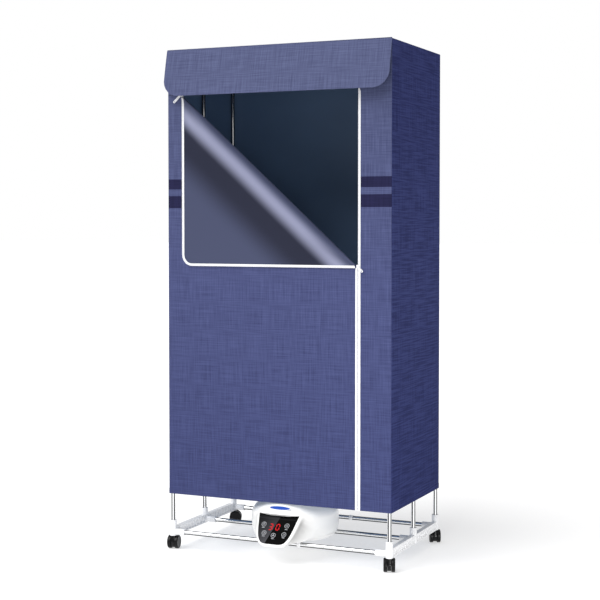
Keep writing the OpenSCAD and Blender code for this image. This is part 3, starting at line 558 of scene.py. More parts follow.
def planPoint(a):  # place and outward way on the cover's outline, a from the front left corner's middle
    for (sx, sy), turn, run in sidesOf:
        bend = quarter / 2 if turn == 225 else quarter
        centre = Vector((sx * (cover["halfWidth"] - radius), sy * (cover["halfDepth"] - radius), 0))
        if a <= bend:
            angle = math.radians(turn + math.degrees(a / radius))
            way = Vector((math.cos(angle), math.sin(angle), 0))
            return centre + way * radius, way
        a -= bend
        if a <= run:
            angle = math.radians(turn + math.degrees(bend / radius))
            way = Vector((math.cos(angle), math.sin(angle), 0))
            return centre + way * radius + Vector((-way.y, way.x, 0)) * a, way
        a -= run
    angle = math.radians(180 + math.degrees(a / radius))
    way = Vector((math.cos(angle), math.sin(angle), 0))
    corner = Vector((-cover["halfWidth"] + radius, -cover["halfDepth"] + radius, 0))
    return corner + way * radius, way


def alongFront(x):  # where an x of the front lies on the outline
    return quarter / 2 + x + cover["halfWidth"] - radius


cornerAt = [0.0, quarter + frontRun, 2 * quarter + frontRun + sideRun,
            3 * quarter + 2 * frontRun + sideRun, 4 * quarter + 2 * (frontRun + sideRun)]


def topInset(z):  # how far a wall leans in at the roof's rounded edge
    over = z - (cover["top"] - radius)
    return 0.0 if over <= 0 else radius - math.sqrt(max(0.0, radius * radius - over * over))


hem = {"deep": 0.015, "proud": 0.0007, "step": 0.0012}


def hemRise(z):  # the doubled cloth at the lower edge
    edge = cover["hemZ"] + hem["deep"]
    return hem["proud"] * (1 - ease(z, edge, edge + hem["step"]))


wallTopEdge = cover["top"] - radius + radius * math.sin(math.pi / 4)
hemRows = [cover["hemZ"], cover["hemZ"] + hem["deep"], cover["hemZ"] + hem["deep"] + hem["step"]]
topRows = [cover["top"] - radius + radius * math.sin(math.radians(turn)) for turn in (0, 15, 30, 45)]


def wallPlace(rise):
    def place(a, z):
        spot, way = planPoint(a)
        spot.z = z
        return spot + way * (rise(a, z) + hemRise(z) - topInset(z))
    return place


coverLook = {"pitch": 0.014, "sideRise": 0.0026, "frontRise": 0.0016, "backRise": 0.0028}


def wallRise(first, last, size, seed, zLow=0.0, zHigh=0.0):
    zLow, zHigh = zLow or cover["hemZ"] + 0.02, zHigh or cover["top"] - 0.02

    def rise(a, z):
        edge = ease(min(a - first, last - a), 0.006, 0.07)
        ends = ease(z, zLow, zLow + 0.09) * (1 - ease(z, zHigh - 0.09, zHigh))
        return edge * ends * wave(a, z, seed, size)
    return rise


def cornerSteps(first, last, bendFirst=True, bendLast=True):
    start, stop = first + (quarter / 2 if bendFirst else 0), last - (quarter / 2 if bendLast else 0)
    runs = [steps(start, stop, coverLook["pitch"])]
    if bendFirst:
        runs.append(steps(first, first + quarter / 2, quarter / 6))
    if bendLast:
        runs.append(steps(last - quarter / 2, last, quarter / 6))
    return joined(*runs)


# the side walls take the side cloth with its painted shade
clothOutside, shadedSideCloth = finishes["cover_cloth"], finishes["cover_cloth_side"]
wallRows = joined(hemRows, steps(hemRows[2], topRows[0], 0.018), topRows)
for name, node, first, seed, cloth, slot in (
        ("coverRight", "cover_right", 1, 3.1, shadedSideCloth, "cover_cloth_side"),
        ("coverBack", "cover_back", 2, 5.7, plainCloth, "cover_cloth"),
        ("coverLeft", "cover_left", 3, 8.3, shadedSideCloth, "cover_cloth_side")):
    size = coverLook["backRise"] if name == "coverBack" else coverLook["sideRise"]
    wall = clothSheet(
        name, cornerSteps(cornerAt[first], cornerAt[first + 1]), wallRows,
        wallPlace(wallRise(cornerAt[first], cornerAt[first + 1], size, seed)), [cloth, insideCoating])
    dress(wall, slot, node)

# the front: header over the zip, strip at the zip's right, and the door with the left strip
headerRows = joined([door["zipZ"] + door["slit"]], steps(door["zipZ"] + 0.004, topRows[0], 0.018), topRows)
header = clothSheet(
    "headerPanel", cornerSteps(0, cornerAt[1]), headerRows, wallPlace(lambda a, z: 0.0),
    [clothOutside, insideCoating])
stripStart = alongFront(door["zipX"] + door["slit"])
stripRows = joined(hemRows, steps(hemRows[2], door["zipZ"] + door["slit"], 0.018))
strip = clothSheet(
    "stripRight", cornerSteps(stripStart, cornerAt[1], bendFirst=False), stripRows,
    wallPlace(wallRise(stripStart, cornerAt[1], 0.0008, 2.2, zHigh=door["zipZ"] - 0.02)),
    [clothOutside, insideCoating])
doorEnd = alongFront(door["zipX"] - door["slit"])
doorRows = joined(hemRows, steps(hemRows[2], door["zipZ"] - door["slit"], 0.014))
run = door["foldBack"] / math.sin(foldAngle)
foldCut = (alongFront(door["foldX"] - run), door["zipZ"])
panelDoor = clothSheet(
    "doorPanel", cornerSteps(0, doorEnd, bendLast=False), doorRows,
    wallPlace(wallRise(0, doorEnd, coverLook["frontRise"], 1.4, zHigh=0.85)), [clothOutside, insideCoating],
    trims=[(foldCut, (math.sin(foldAngle), math.cos(foldAngle)))])
openRight = math.tan(foldAngle) * (doorEnd - alongFront(door["foldX"])) / 2
for front, node, width, high, area in (
        (header, "front_header", cornerAt[1], wallTopEdge - headerRows[0], None),
        (strip, "front_strip_right", cornerAt[1] - stripStart, stripRows[-1] - stripRows[0], None),
        (panelDoor, "door_panel", doorEnd, doorRows[-1] - doorRows[0],
         doorEnd * (doorRows[-1] - doorRows[0]) - openRight * (doorEnd - alongFront(door["foldX"])))):
    dress(front, "cover_cloth", node)
print("walls hung")

roofLook = {"sag": 0.0035, "pitch": 0.016}


def roofPlace(x, y):
    over = math.hypot(
        max(0.0, abs(x) - (cover["halfWidth"] - radius)), max(0.0, y - (cover["halfDepth"] - radius)))
    drop = radius - math.sqrt(max(0.0, radius ** 2 - min(over, radius * 0.999) ** 2))
    inside = ease(cover["halfWidth"] - abs(x), 0.012, 0.12) * ease(cover["halfDepth"] - abs(y), 0.006, 0.10)
    sag = roofLook["sag"] * 0.4 + wave(x, y, 4.4, roofLook["sag"] * 0.6)
    return Vector((x, y, cover["top"] - drop - inside * sag))


bends = [radius * math.sin(math.radians(turn)) - radius for turn in (0, 15, 30, 45)]
roofX = joined(*[[side * (cover["halfWidth"] + bend) for bend in bends] for side in (-1, 1)],
               steps(-frontRun / 2, frontRun / 2, roofLook["pitch"]))
roofY = joined([cover["halfDepth"] + bend for bend in bends],
               steps(-cover["halfDepth"] - 0.0005, sideRun / 2, roofLook["pitch"]))
roof = clothSheet("roofPanel", roofX, roofY, roofPlace, [plainCloth, insideCoating])
dress(roof, "cover_cloth", "cover_roof")

# the piping that the valance hangs from
pipe = {"radius": 0.0013, "y": frontY - 0.0012, "z": cover["top"]}
bm = bmesh.new()
bmesh.ops.create_cone(bm, cap_ends=True, segments=10, radius1=pipe["radius"], radius2=pipe["radius"],
                      depth=2 * cover["halfWidth"] - 0.002)
bmesh.ops.rotate(bm, verts=bm.verts, cent=(0, 0, 0), matrix=Matrix.Rotation(math.pi / 2, 3, "Y"))
bmesh.ops.translate(bm, verts=bm.verts, vec=(0, pipe["y"], pipe["z"] - 0.0001))
piping = newPiece("roofPiping", bm, [valanceCloth])
dress(piping, "cover_cloth")

valanceLook = {
    "drop": 0.139, "flare": 0.027, "corner": 0.050, "wave": 0.0016, "hem": 0.011, "hemProud": 0.0006,
    "hemStep": 0.0012,
}
valanceLean = math.asin(valanceLook["flare"] / valanceLook["drop"])
valanceLong = valanceLook["drop"] / math.cos(valanceLean)


def valancePlace(x, up):
    edge = min(valanceLook["hem"], up + valanceLong, cover["halfWidth"] - abs(x))
    doubled = 1 - ease(edge, valanceLook["hem"] - valanceLook["hemStep"], valanceLook["hem"])
    proud = valanceLook["hemProud"] * doubled
    rise = ease(-up, 0.02, valanceLong) * wave(x * 1.6, up, 9.9, valanceLook["wave"]) + proud
    bow = 0.0016 * math.sin(math.pi * -up / valanceLong)
    down = Vector((0, -math.sin(valanceLean), -math.cos(valanceLean)))
    out = Vector((0, -math.cos(valanceLean), math.sin(valanceLean)))
    return Vector((x, pipe["y"], pipe["z"])) - down * up + out * (0.0006 + rise + bow)


half, long, corner = cover["halfWidth"], valanceLong, valanceLook["corner"]
deep, step = valanceLook["hem"], valanceLook["hemStep"]
valanceRows = joined([-long, -long + deep - step, -long + deep], steps(-long + deep, -0.0015, 0.010))
valanceX = joined(*[[side * half, side * (half - deep + step), side * (half - deep)] for side in (-1, 1)],
                  steps(-half + deep, half - deep, 0.012))
valance = clothSheet(
    "valanceFlap", valanceX, valanceRows, valancePlace, [valanceCloth, plainLining],
    trims=roundOff(half - corner, corner - long, corner, -90)
    + roundOff(corner - half, corner - long, corner, 180))
dress(valance, "cover_cloth", "valance", body="valance")
print("roof and valance hung")

# the folded corner: its section across the fold, as distance below the fold line and height, in mm
foldShape = {
    "section": [
        (3, -0.6), (0.8, 5), (0.2, 12), (1.2, 19), (5, 27.5), (11, 33.5), (19, 36), (28, 35), (40, 29.5),
        (55, 20.5), (70, 12.8), (85, 7.2), (100, 4.0), (118, 2.4), (140, 1.9), (170, 1.6)],
    "tip": -0.010, "full": 0.180, "least": 0.06, "flat": 0.0016, "viewLean": 0.30,
}


def smoothCurve(points, parts):  # a smooth run through the points
    made = []
    padded = [points[0]] + points + [points[-1]]
    for i in range(1, len(padded) - 2):
        p0, p1, p2, p3 = (Vector(p) for p in padded[i - 1:i + 3])
        for j in range(parts):
            t = j / parts
            made.append(0.5 * (2 * p1 + (p2 - p0) * t + (2 * p0 - 5 * p1 + 4 * p2 - p3) * t * t
                               + (3 * p1 - p0 - 3 * p2 + p3) * t ** 3))
    return made + [Vector(points[-1])]


section = [p / 1000 for p in smoothCurve(foldShape["section"], 3)]
sectionAt = [0.0]
for p, q in zip(section, section[1:]):
    sectionAt.append(sectionAt[-1] + (q - p).length)


def rollSize(s):  # the roll's share of its full size, s along the fold
    end = min(s, foldLength - s)
    size = foldShape["least"] + (1 - foldShape["least"]) * ease(end, foldShape["tip"], foldShape["full"])
    return size * (1 + 0.03 * noise.noise(Vector((s * 9, 3.3, 0))))


def foldProfile(s, t):  # distance below the fold line, and height, t along the cloth from the fold
    size = rollSize(s)
    for i, at in enumerate(sectionAt):
        if t <= at:
            spot = section[i] if i == 0 else section[i - 1].lerp(
                section[i], (t - sectionAt[i - 1]) / (at - sectionAt[i - 1]))
            break
    else:
        spot = Vector((section[-1].x + t - sectionAt[-1], foldShape["flat"]))
    base = foldShape["flat"] - 0.0022 * (1 - ease(t, 0.0, 0.012))
    far = max(0.0, t - sectionAt[-1])
    below = 0.003 + (spot.x - far - 0.003) * size + far
    return below, base + (spot.y - base) * size


def foldHeight(x, z):  # the folded corner's height over the front at a place away from the roll
    gap = Vector((x, 0, z)) - Vector((foldStart.x, 0, foldStart.z))
    s, below = gap.dot(foldAlong), gap.dot(foldDown)
    low, high = 0.0, 0.6
    for _ in range(24):
        middle = (low + high) / 2
        if foldProfile(s, middle)[0] < below:
            low = middle
        else:
            high = middle
    return foldProfile(s, high)[1]


def foldPlace(s, up):
    below, height = foldProfile(s, -up)
    return foldStart + foldAlong * s + foldDown * below + outward * height


# the lining's UV: along the fold, and across it the distance that places the painted highlight and shade,
# leaned by the roll's height
def foldMeasure(s, up):
    below, height = foldProfile(s, -up)
    return s, below + foldShape["viewLean"] * height


def flapCuts():
    left, low = door["flapLeft"] + door["flapCorner"], door["flapBottom"] + door["flapCorner"]
    cuts = [((door["flapLeft"], 0, 0), (-1, 0, 0)), ((0, 0, door["flapBottom"]), (0, 0, -1)),
            ((door["flapRight"], 0, 0), (1, 0, 0)), ((0, 0, door["flapTop"]), (0, 0, 1))]
    for i in range(1, 9):
        angle = math.radians(180 + 10 * i)
        way = Vector((math.cos(angle), 0, math.sin(angle)))
        cuts.append((Vector((left, 0, low)) + way * door["flapCorner"], way))
    return cuts


foldRows = joined([-at for at in sectionAt], steps(-sectionAt[-1] - 0.012, -0.46, 0.012))
flap = clothSheet(
    "doorFold", steps(-0.03, foldLength + 0.03, 0.008), foldRows, foldPlace,
    [finishes["cloth_lining"], clothOutside], cuts=flapCuts(), offset=0.0, measure=foldMeasure)
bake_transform(flap)
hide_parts("door_flap")
print("folded corner laid")

# zips: white tapes, their coils and the rows of stitches
zipLook = {
    "wide": 0.0072, "thick": 0.0008, "pitch": 0.0026, "stitch": 0.0042, "coilIn": 0.0011,
    "tooth": (0.0034, 0.0016, 0.0014), "thread": (0.0032, 0.0007, 0.0005),
}


def tapeAlong(points, wide):  # place and the way into the tape, along a run of (x, z) points
    spots = [Vector((x, 0, z)) for x, z in points]
    lengths = [0.0]
    for p, q in zip(spots, spots[1:]):
        lengths.append(lengths[-1] + (q - p).length)

    def at(a, side):
        i = next((k for k in range(1, len(lengths)) if a <= lengths[k] + 1e-9), len(lengths) - 1)
        way = (spots[i] - spots[i - 1]).normalized()
        spot = spots[i - 1] + way * (a - lengths[i - 1])
        inner = Vector((-way.z, 0, way.x)) * wide
        if side and i < len(spots) - 1 and abs(a - lengths[i]) < 1e-6:  # a mitred turn
            after = (spots[i + 1] - spots[i]).normalized()
            inner = inner + Vector((-after.z, 0, after.x)) * wide
            inner = inner * (2 * wide * wide / inner.length_squared)
        return spot + inner * side
    return at, lengths


zipRight, zipTop = door["zipX"] + door["slit"], door["zipZ"] + door["slit"]
frameLine = [(zipRight, cover["hemZ"]), (zipRight, zipTop), (door["slitLeft"], zipTop)]
foldTop = door["foldEndZ"] - door["foldBack"] / math.cos(foldAngle)
doorLine = [(door["zipX"] - door["slit"], cover["hemZ"]), (door["zipX"] - door["slit"], foldTop - 0.002)]
left, low = door["flapLeft"] + door["flapCorner"], door["flapBottom"] + door["flapCorner"]
flapLine = [
    (door["foldX"] + 0.0045, door["flapTop"]), (door["flapLeft"], door["flapTop"]), (door["flapLeft"], low)]
for turn in range(190, 270, 10):
    way = (math.cos(math.radians(turn)), math.sin(math.radians(turn)))
    flapLine.append((left + door["flapCorner"] * way[0], low + door["flapCorner"] * way[1]))
flapLine += [(left, door["flapBottom"]), (door["flapRight"], door["flapBottom"])]


def bead(bm, spot, along, out, size, subdivisions=1):  # a small closed bead, turned along a way
    made = bmesh.ops.create_icosphere(bm, subdivisions=subdivisions, radius=0.5)["verts"]
    side = along.cross(out)
    turn = Matrix((along * size[0], side * size[1], out * size[2])).transposed()
    for v in made:
        v.co = turn @ v.co + spot


def zipTape(name, node, line, side, height, blended=False):
    at, lengths = tapeAlong(line, 1.0)
    places = joined(steps(0, lengths[-1], 0.012), lengths)
    wide = zipLook["wide"] * side

    def place(a, b):
        spot = at(a, b)
        lift = height(spot.x, spot.z) + zipLook["thick"] * (0.5 if abs(b) > 1e-6 else 1)
        return Vector((spot.x, frontY - lift, spot.z))

    rows = sorted([0.0, wide * 0.3, wide * 0.7, wide])
    tape = clothSheet(name, places, rows, place, [finishes["zip_tape"]], wall=zipLook["thick"], offset=0.0)
    tape.data.flip_normals()
    coil, seam = bmesh.new(), bmesh.new()
    for a in steps(0, lengths[-1], zipLook["pitch"]):
        spot = at(a, 0.0)
        ahead = (at(min(a + 0.001, lengths[-1]), 0.0) - at(max(0.0, a - 0.001), 0.0)).normalized()
        across = Vector((-ahead.z, 0, ahead.x)) * side
        lift = height(spot.x, spot.z) + zipLook["thick"] * 1.2
        seat = Vector((spot.x, frontY - lift, spot.z)) + across * zipLook["coilIn"]
        bead(coil, seat, across, outward, zipLook["tooth"])
    for a in steps(0.002, lengths[-1] - 0.002, zipLook["stitch"]):
        for b in (0.38, 0.82):
            spot = at(a, wide * b)
            ahead = (at(min(a + 0.001, lengths[-1]), 0.0) - at(max(0.0, a - 0.001), 0.0)).normalized()
            lift = height(spot.x, spot.z) + zipLook["thick"] * 1.05
            bead(seam, Vector((spot.x, frontY - lift, spot.z)), ahead, outward, zipLook["thread"])
    made = [newPiece(name + "Coil", coil, [teethFinish]), newPiece(name + "Stitches", seam, [whiteThread])]
    for piece in [tape] + made:
        if blended:
            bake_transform(piece)
        else:
            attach(piece, "cabinet")
    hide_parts(node)
    return tape


zipTape("frameTape", "zip_tape_frame", frameLine, -1, lambda x, z: 0.0)
zipTape("doorTape", "zip_tape_door", doorLine, 1, lambda x, z: 0.0)
zipTape("flapTape", "zip_tape_flap", flapLine, 1, lambda x, z: foldHeight(x, z) + 0.0006, blended=True)
print("zips sewn")

def settle(piece):  # a piece's modifiers become its mesh
    bpy.context.view_layer.update()
    mesh = bpy.data.meshes.new_from_object(piece.evaluated_get(bpy.context.evaluated_depsgraph_get()))
    piece.modifiers.clear()
    piece.data = mesh


def carve(piece, cutters):
    for bm in cutters:
        cutter = newPiece("cutter", bm, [])
        hole = piece.modifiers.new("hole", "BOOLEAN")
        hole.operation, hole.object, hole.solver = "DIFFERENCE", cutter, "EXACT"
        settle(piece)
        bpy.data.objects.remove(cutter)


def drum(spot, size, low, high, sides=96):
    bm = bmesh.new()
    bmesh.ops.create_cone(bm, cap_ends=True, segments=sides, radius1=size, radius2=size, depth=high - low)
    bmesh.ops.translate(bm, verts=bm.verts, vec=(spot.x, spot.y, (low + high) / 2))
    return bm


# the floor closes round the feet of the posts and round the warm-air unit
floorLook = {
    "inset": 0.0006, "thick": 0.0012, "cut": 0.025, "post": 0.0068, "postX": 0.3488, "postY": 0.1998,
    "heater": 0.0966, "heaterAt": (0.016, -0.108),
}
bm = bmesh.new()
floorX = cover["halfWidth"] - cover["cloth"] - floorLook["inset"]
floorY = cover["halfDepth"] - cover["cloth"] - floorLook["inset"]
bmesh.ops.create_grid(bm, x_segments=46, y_segments=28, size=1)
for v in bm.verts:
    v.co = (v.co.x * floorX, v.co.y * floorY, cover["hemZ"] + floorLook["thick"] / 2)
bmesh.ops.solidify(bm, geom=bm.faces[:], thickness=floorLook["thick"])
floorSheet = newPiece("floorSheet", bm, [insideCoating])
spots = [(*floorLook["heaterAt"], floorLook["heater"], 72)]
spots += [(side * floorLook["postX"], y, floorLook["post"], 20)
          for side in (-1, 1) for y in (-floorLook["postY"], 0, floorLook["postY"])]
high, low = cover["hemZ"] + floorLook["cut"], cover["hemZ"] - floorLook["cut"]
carve(floorSheet, [drum(Vector((x, y, 0)), size, low, high, sides) for x, y, size, sides in spots])
dress(floorSheet, "cloth_lining", "floor_cloth")
print("floor laid")

# the warm-air unit: a smooth shell, and what is printed and set on its slanting front
unitLook = {
    "profile": [(13.6, 125), (28, 129), (60, 129), (76, 126.5), (90, 116), (103, 99), (117.5, 84)],
    "rim": 0.005, "dip": 0.006, "taper": 0.017, "square": 5, "slope": 0.009, "glass": 0.0019,
    "wall": 0.012, "panTop": 0.0761, "panRadius": 0.1251, "mouth": 0.076,
    "voxel": 0.002, "smooth": 4, "valley": 0.007, "valleyAt": 0.012, "valleyWide": 0.050,
}
unitLow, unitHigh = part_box("heater_top_shell")
unitAxis = Vector(((unitLow.x + unitHigh.x) / 2, unitHigh.y - 0.129, unitHigh.z - 0.1175))
panelTurn = Matrix.Rotation(math.radians(90 - panel["lean"]), 4, "X")
panelPlace = Matrix.Translation((panel["x"], panel["y"], panel["z"])) @ panelTurn


def outline(bm, grow, depth):  # the glass's outline on the slanting front, as a face
    half, long = panel["half"] + grow, panel["long"] + 2 * grow
    made = bmesh.ops.create_circle(bm, cap_ends=True, segments=96, radius=1)["verts"]
    for v in made:
        across, up = v.co.x, v.co.y
        if up < -1e-6:
            square = unitLook["square"]
            side = (half + unitLook["taper"] * up) * (1 - (-up) ** square) ** (1 / square)
            v.co = (math.copysign(side, across) if abs(across) > 1e-6 else 0.0, grow + long * up, -depth)
        else:
            v.co = (half * across, grow - unitLook["dip"] * (1 - across * across), -depth)
    bmesh.ops.transform(bm, matrix=panelPlace, verts=made)
    return made


def unitHull(wall):  # the round body with the slanting front on it, wall inside the outer faces
    bm = bmesh.new()
    for ring in smoothCurve(unitLook["profile"], 4):
        made = bmesh.ops.create_circle(bm, segments=96, radius=ring.y / 1000 - wall)["verts"]
        high = min(ring.x, unitLook["profile"][-1][0] - wall * 1000) / 1000
        bmesh.ops.translate(bm, verts=made, vec=unitAxis + Vector((0, 0, high)))
    outline(bm, unitLook["rim"] - wall, wall * 0.5)
    outline(bm, unitLook["rim"] - wall, unitLook["slope"])
    bmesh.ops.delete(bm, geom=bm.faces[:], context="FACES_ONLY")
    bmesh.ops.delete(bm, geom=bm.edges[:], context="EDGES_FACES")
    made = bmesh.ops.convex_hull(bm, input=bm.verts[:])
    inside = made["geom_interior"] + made["geom_unused"]
    inner = {item for item in inside if isinstance(item, bmesh.types.BMVert)}
    bmesh.ops.delete(bm, geom=list(inner), context="VERTS")
    return bm


unitShell = newPiece("unitShell", unitHull(0.0), [finishes["heater_plastic"]])
evenFaces = unitShell.modifiers.new("evenFaces", "REMESH")
evenFaces.mode, evenFaces.voxel_size, evenFaces.adaptivity = "VOXEL", unitLook["voxel"], 0.0
soften = unitShell.modifiers.new("soften", "SMOOTH")
soften.factor, soften.iterations = 0.5, unitLook["smooth"]
settle(unitShell)
intoPanel = panelPlace.inverted()
ways = [v.normal.copy() for v in unitShell.data.vertices]
# the body draws in behind the rim, left and right of the glass
for v, way in zip(unitShell.data.vertices, ways):
    spot = intoPanel @ v.co
    side = ease(abs(spot.x), 0.030, 0.060) * (1 - ease(spot.y, -0.016, 0.006))
    near = ease(-spot.z, 0.0015, unitLook["valleyAt"])
    near *= 1 - ease(-spot.z, unitLook["valleyAt"], unitLook["valleyWide"])
    v.co -= way * unitLook["valley"] * side * near
prism = bmesh.new()
outline(prism, 0.0001, unitLook["glass"])
lifted = bmesh.ops.extrude_face_region(prism, geom=prism.faces[:])["geom"]
bmesh.ops.translate(prism, vec=panelTurn @ Vector((0, 0, 0.03)),
                    verts=[item for item in lifted if isinstance(item, bmesh.types.BMVert)])
carve(unitShell, [
    unitHull(unitLook["wall"]), drum(unitAxis, unitLook["panRadius"], 0.02, unitLook["panTop"]),
    drum(unitAxis, unitLook["panRadius"] - unitLook["wall"], 0.06, unitLook["panTop"] + 0.012),
    drum(unitAxis, unitLook["mouth"], unitHigh.z - 0.03, unitHigh.z + 0.03), prism])
for face in unitShell.data.polygons:
    face.use_smooth = True
unitShell.data.set_sharp_from_angle(angle=math.radians(38))
dress(unitShell, "heater_plastic", "heater_top_shell")
print("unit shell:", len(unitShell.data.polygons), "faces")


printLook = {  # places and sizes on the glass, in mm
    "rings": [(-40.1, -34.7), (-32.4, -61.4), (-1.8, -66.5), (30.5, -61.3), (33.1, -33.8)],
    "ring": 14.5, "line": 1.1, "captionDrop": (10.2, 10.2, 10.6, 10.0, 11.2), "caption": (8.4, 1.5),
    "digits": [((-16.1, -41.1), "abgcd"), ((5.7, -40.2), "abcdef")], "digit": (12.2, 20.6),
    "bar": 2.8, "slant": 6,
    "lift": 0.33, "thick": 0.12,
}


def plate(bm, spot, size, sides=4, turn=0.0, ring=0.0):  # a flat mark on the glass
    radius = math.sqrt(0.5) if sides == 4 else 0.5
    made = bmesh.ops.create_circle(bm, cap_ends=True, segments=sides, radius=radius)["verts"]
    square = Matrix.Rotation(math.radians(45), 4, "Z") if sides == 4 else Matrix()
    place = Matrix.Translation((*spot, 0)) @ Matrix.Rotation(math.radians(turn), 4, "Z")
    bmesh.ops.transform(bm, matrix=place @ Matrix.Diagonal((*size, 1, 1)) @ square, verts=made)
    if ring:
        face = made[0].link_faces[0]
        bmesh.ops.inset_individual(bm, faces=[face], thickness=ring)
        bmesh.ops.delete(bm, geom=[face], context="FACES_ONLY")


def segment(bm, spot, long, wide, upright):  # one bar of a lit number, pointed at both ends
    made = bmesh.ops.create_circle(bm, cap_ends=True, segments=6, radius=1)["verts"]
    for v in made:
        point = abs(v.co.y) < 0.1
        along = math.copysign(long / 2 - (0 if point else wide / 2), v.co.x)
        across = 0 if point else math.copysign(wide / 2, v.co.y)
        v.co = (spot[0] + across, spot[1] + along, 0) if upright else (spot[0] + along, spot[1] + across, 0)


def printed(name, bm, material):
    for face in bm.faces:
        face.normal_update()
        if face.normal.z < 0:
            face.normal_flip()
    bmesh.ops.solidify(bm, geom=bm.faces[:], thickness=printLook["thick"])
    bmesh.ops.translate(bm, verts=bm.verts, vec=(0, 0, printLook["lift"]))
    bmesh.ops.scale(bm, vec=(0.001, 0.001, 0.001), verts=bm.verts)
    bmesh.ops.transform(bm, matrix=panelPlace, verts=bm.verts)
    piece = newPiece(name, bm, [material], smooth=False)
    dress(piece, "touch_glass")


marks = bmesh.new()
power, timer, air, heat, lamp = printLook["rings"]
for spot, drop in zip(printLook["rings"], printLook["captionDrop"]):
    plate(marks, spot, (printLook["ring"],) * 2, sides=40, ring=printLook["line"])
    plate(marks, (spot[0] + 0.3, spot[1] - drop), printLook["caption"])
plate(marks, power, (6.4, 6.4), sides=28, ring=0.9)
plate(marks, (power[0], power[1] + 3.0), (1.0, 4.2))
plate(marks, timer, (7.4, 7.4), sides=28, ring=0.8)
plate(marks, (timer[0], timer[1] + 1.2), (0.8, 2.6))
plate(marks, (timer[0] + 1.0, timer[1]), (2.2, 0.8))
for turn in (90, 210, 330):
    way = Vector((math.cos(math.radians(turn)), math.sin(math.radians(turn))))
    plate(marks, Vector(air) + way * 2.5, (4.4, 2.2), sides=16, turn=turn + 24)
for shift in (-2.4, 0.0, 2.4):
    for high, lean in ((1.5, 24), (-1.5, -24)):
        plate(marks, (heat[0] + shift, heat[1] + high), (0.9, 3.4), turn=lean)
plate(marks, lamp, (3.4, 3.4), sides=20)
for turn in range(0, 360, 45):
    way = Vector((math.cos(math.radians(turn)), math.sin(math.radians(turn))))
    plate(marks, Vector(lamp) + way * 3.7, (1.8, 0.7), turn=turn)
printed("panelMarks", marks, markFinish)

wide, high = printLook["digit"]
inner, bar = wide - printLook["bar"], printLook["bar"]
segmentsOf = {
    "a": (0, (high - bar) / 2, False), "g": (0, 0, False), "d": (0, (bar - high) / 2, False),
    "b": (inner / 2, (high - bar) / 4, True), "c": (inner / 2, (bar - high) / 4, True),
    "e": (-inner / 2, (bar - high) / 4, True), "f": (-inner / 2, (high - bar) / 4, True)}
lit = bmesh.new()
for (x, y), shown in printLook["digits"]:
    for name, (right, over, upright) in segmentsOf.items():
        lean = math.tan(math.radians(printLook["slant"])) * over
        long = (high - bar) / 2 + 0.6 if upright else inner + 0.6
        if name in shown:
            segment(lit, (x + right + lean, y + over), long, bar, upright)
printed("panelDigits", lit, glowFinish("digitGlow", "f01c22", 0.9))

# the badge's place: a plain oval inlay with a pale rim, on the face above the glass
badgeLook = {
    "spot": (0.017, -0.2102, 0.1523), "lean": 33.2,
    "rim": (0.069, 0.0156, 0.0016), "inlay": (0.0662, 0.0132, 0.0026),
}
badgeOut = Matrix.Rotation(math.radians(90 - badgeLook["lean"]), 4, "X") @ Vector((0, 0, 1))
badgeSeat, badgeFacing = unitShell.ray_cast(Vector(badgeLook["spot"]) + badgeOut * 0.05, -badgeOut)[1:3]
badgeLean = math.atan2(-badgeFacing.y, badgeFacing.z)
badgePlace = Matrix.Translation(badgeSeat + badgeFacing * 0.0003) @ Matrix.Rotation(badgeLean, 4, "X")
for name, size, material in (
        ("badgeRim", badgeLook["rim"], finishes["zip_slider"]),
        ("badgeInlay", badgeLook["inlay"], inlayFinish())):
    bm = bmesh.new()
    bmesh.ops.create_uvsphere(bm, u_segments=56, v_segments=18, radius=0.5)
    bmesh.ops.transform(bm, matrix=badgePlace @ Matrix.Diagonal((*size, 1)), verts=bm.verts)
    piece = newPiece(name, bm, [material])
    dress(piece, "heater_plastic")
print("panel printed")

view = {
    "from": (1.7049, -3.8058, 0.9832), "tilt": 88.0, "turn": 24.358,
    "lens": 82.451, "sensor": 36, "shift": -0.0470,
}
camera = bpy.data.objects.new("camera", bpy.data.cameras.new("camera"))
bpy.context.scene.collection.objects.link(camera)
camera.location = view["from"]
camera.rotation_euler = (math.radians(view["tilt"]), 0, math.radians(view["turn"]))
camera.data.lens, camera.data.sensor_width = view["lens"], view["sensor"]
camera.data.shift_y = view["shift"]
bpy.context.scene.camera = camera

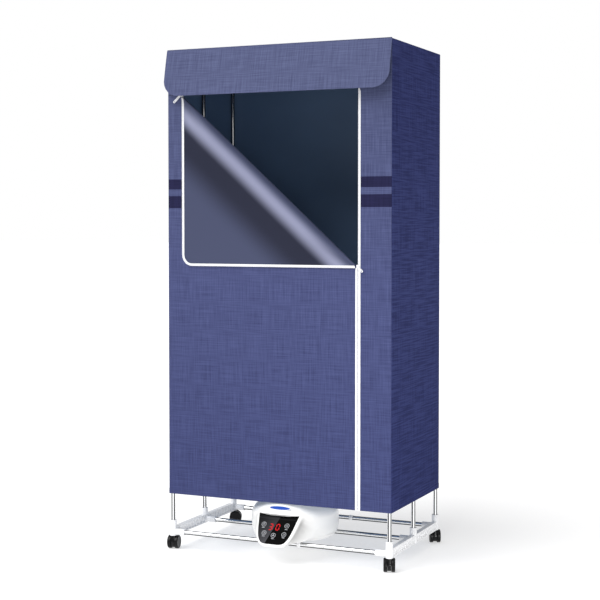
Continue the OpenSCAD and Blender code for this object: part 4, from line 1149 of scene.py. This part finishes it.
studio = {
    "ambient": 0.46, "backdrop": 1.0, "sun": 2.7, "sunWay": (0.32, 0.52, -0.80), "sunSoft": 50,
    "floorTone": 0.6, "floorGlow": 0.52,
    "fill": 2.6, "fillSize": (1.2, 0.25), "fillSpread": 60,
    "fillFrom": (1.9, -1.9, 0.22), "fillTo": (0.25, -0.05, 0.10),
}
world = bpy.data.worlds.new("studio")
world.use_nodes = True
air = world.node_tree
air.nodes["Background"].inputs["Color"].default_value = (1, 1, 1, 1)
seen = air.nodes.new("ShaderNodeLightPath")  # the backdrop is white, and lights more softly than it looks
level = air.nodes.new("ShaderNodeMapRange")
level.inputs["To Min"].default_value = studio["ambient"]
level.inputs["To Max"].default_value = studio["backdrop"]
air.links.new(seen.outputs["Is Camera Ray"], level.inputs["Value"])
air.links.new(level.outputs["Result"], air.nodes["Background"].inputs["Strength"])
bpy.context.scene.world = world
bpy.context.scene.view_settings.view_transform = "Standard"
sun = bpy.data.objects.new("sun", bpy.data.lights.new("sun", "SUN"))
sun.data.energy, sun.data.angle = studio["sun"], math.radians(studio["sunSoft"])
sun.rotation_euler = Vector(studio["sunWay"]).to_track_quat("-Z", "Y").to_euler()
bpy.context.scene.collection.objects.link(sun)

# lifts the white base and the unit
fillLight = bpy.data.objects.new("lowFill", bpy.data.lights.new("lowFill", "AREA"))
fillLight.data.shape = "RECTANGLE"
fillLight.data.size, fillLight.data.size_y = studio["fillSize"]
fillLight.data.energy, fillLight.data.spread = studio["fill"], math.radians(studio["fillSpread"])
fillLight.location = studio["fillFrom"]
fillWay = Vector(studio["fillTo"]) - Vector(studio["fillFrom"])
fillLight.rotation_euler = fillWay.to_track_quat("-Z", "Y").to_euler()
bpy.context.scene.collection.objects.link(fillLight)

floorFinish = Finish("studioFloor")
grain = floorFinish.speckle(floorFinish.vector(*floorFinish.places()), 30.0, 3)
pale = studio["floorTone"]
bm = bmesh.new()
bmesh.ops.create_grid(bm, x_segments=2, y_segments=2, size=60)
ground = newPiece("studioFloor", bm, [floorFinish.surface(
    Base_Color=floorFinish.tint(grain * 0.1, (pale,) * 3, (pale * 0.95,) * 3),
    Roughness=0.9, Specular_IOR_Level=0.0,
    Emission_Color=(1.0, 1.0, 1.0), Emission_Strength=studio["floorGlow"])])
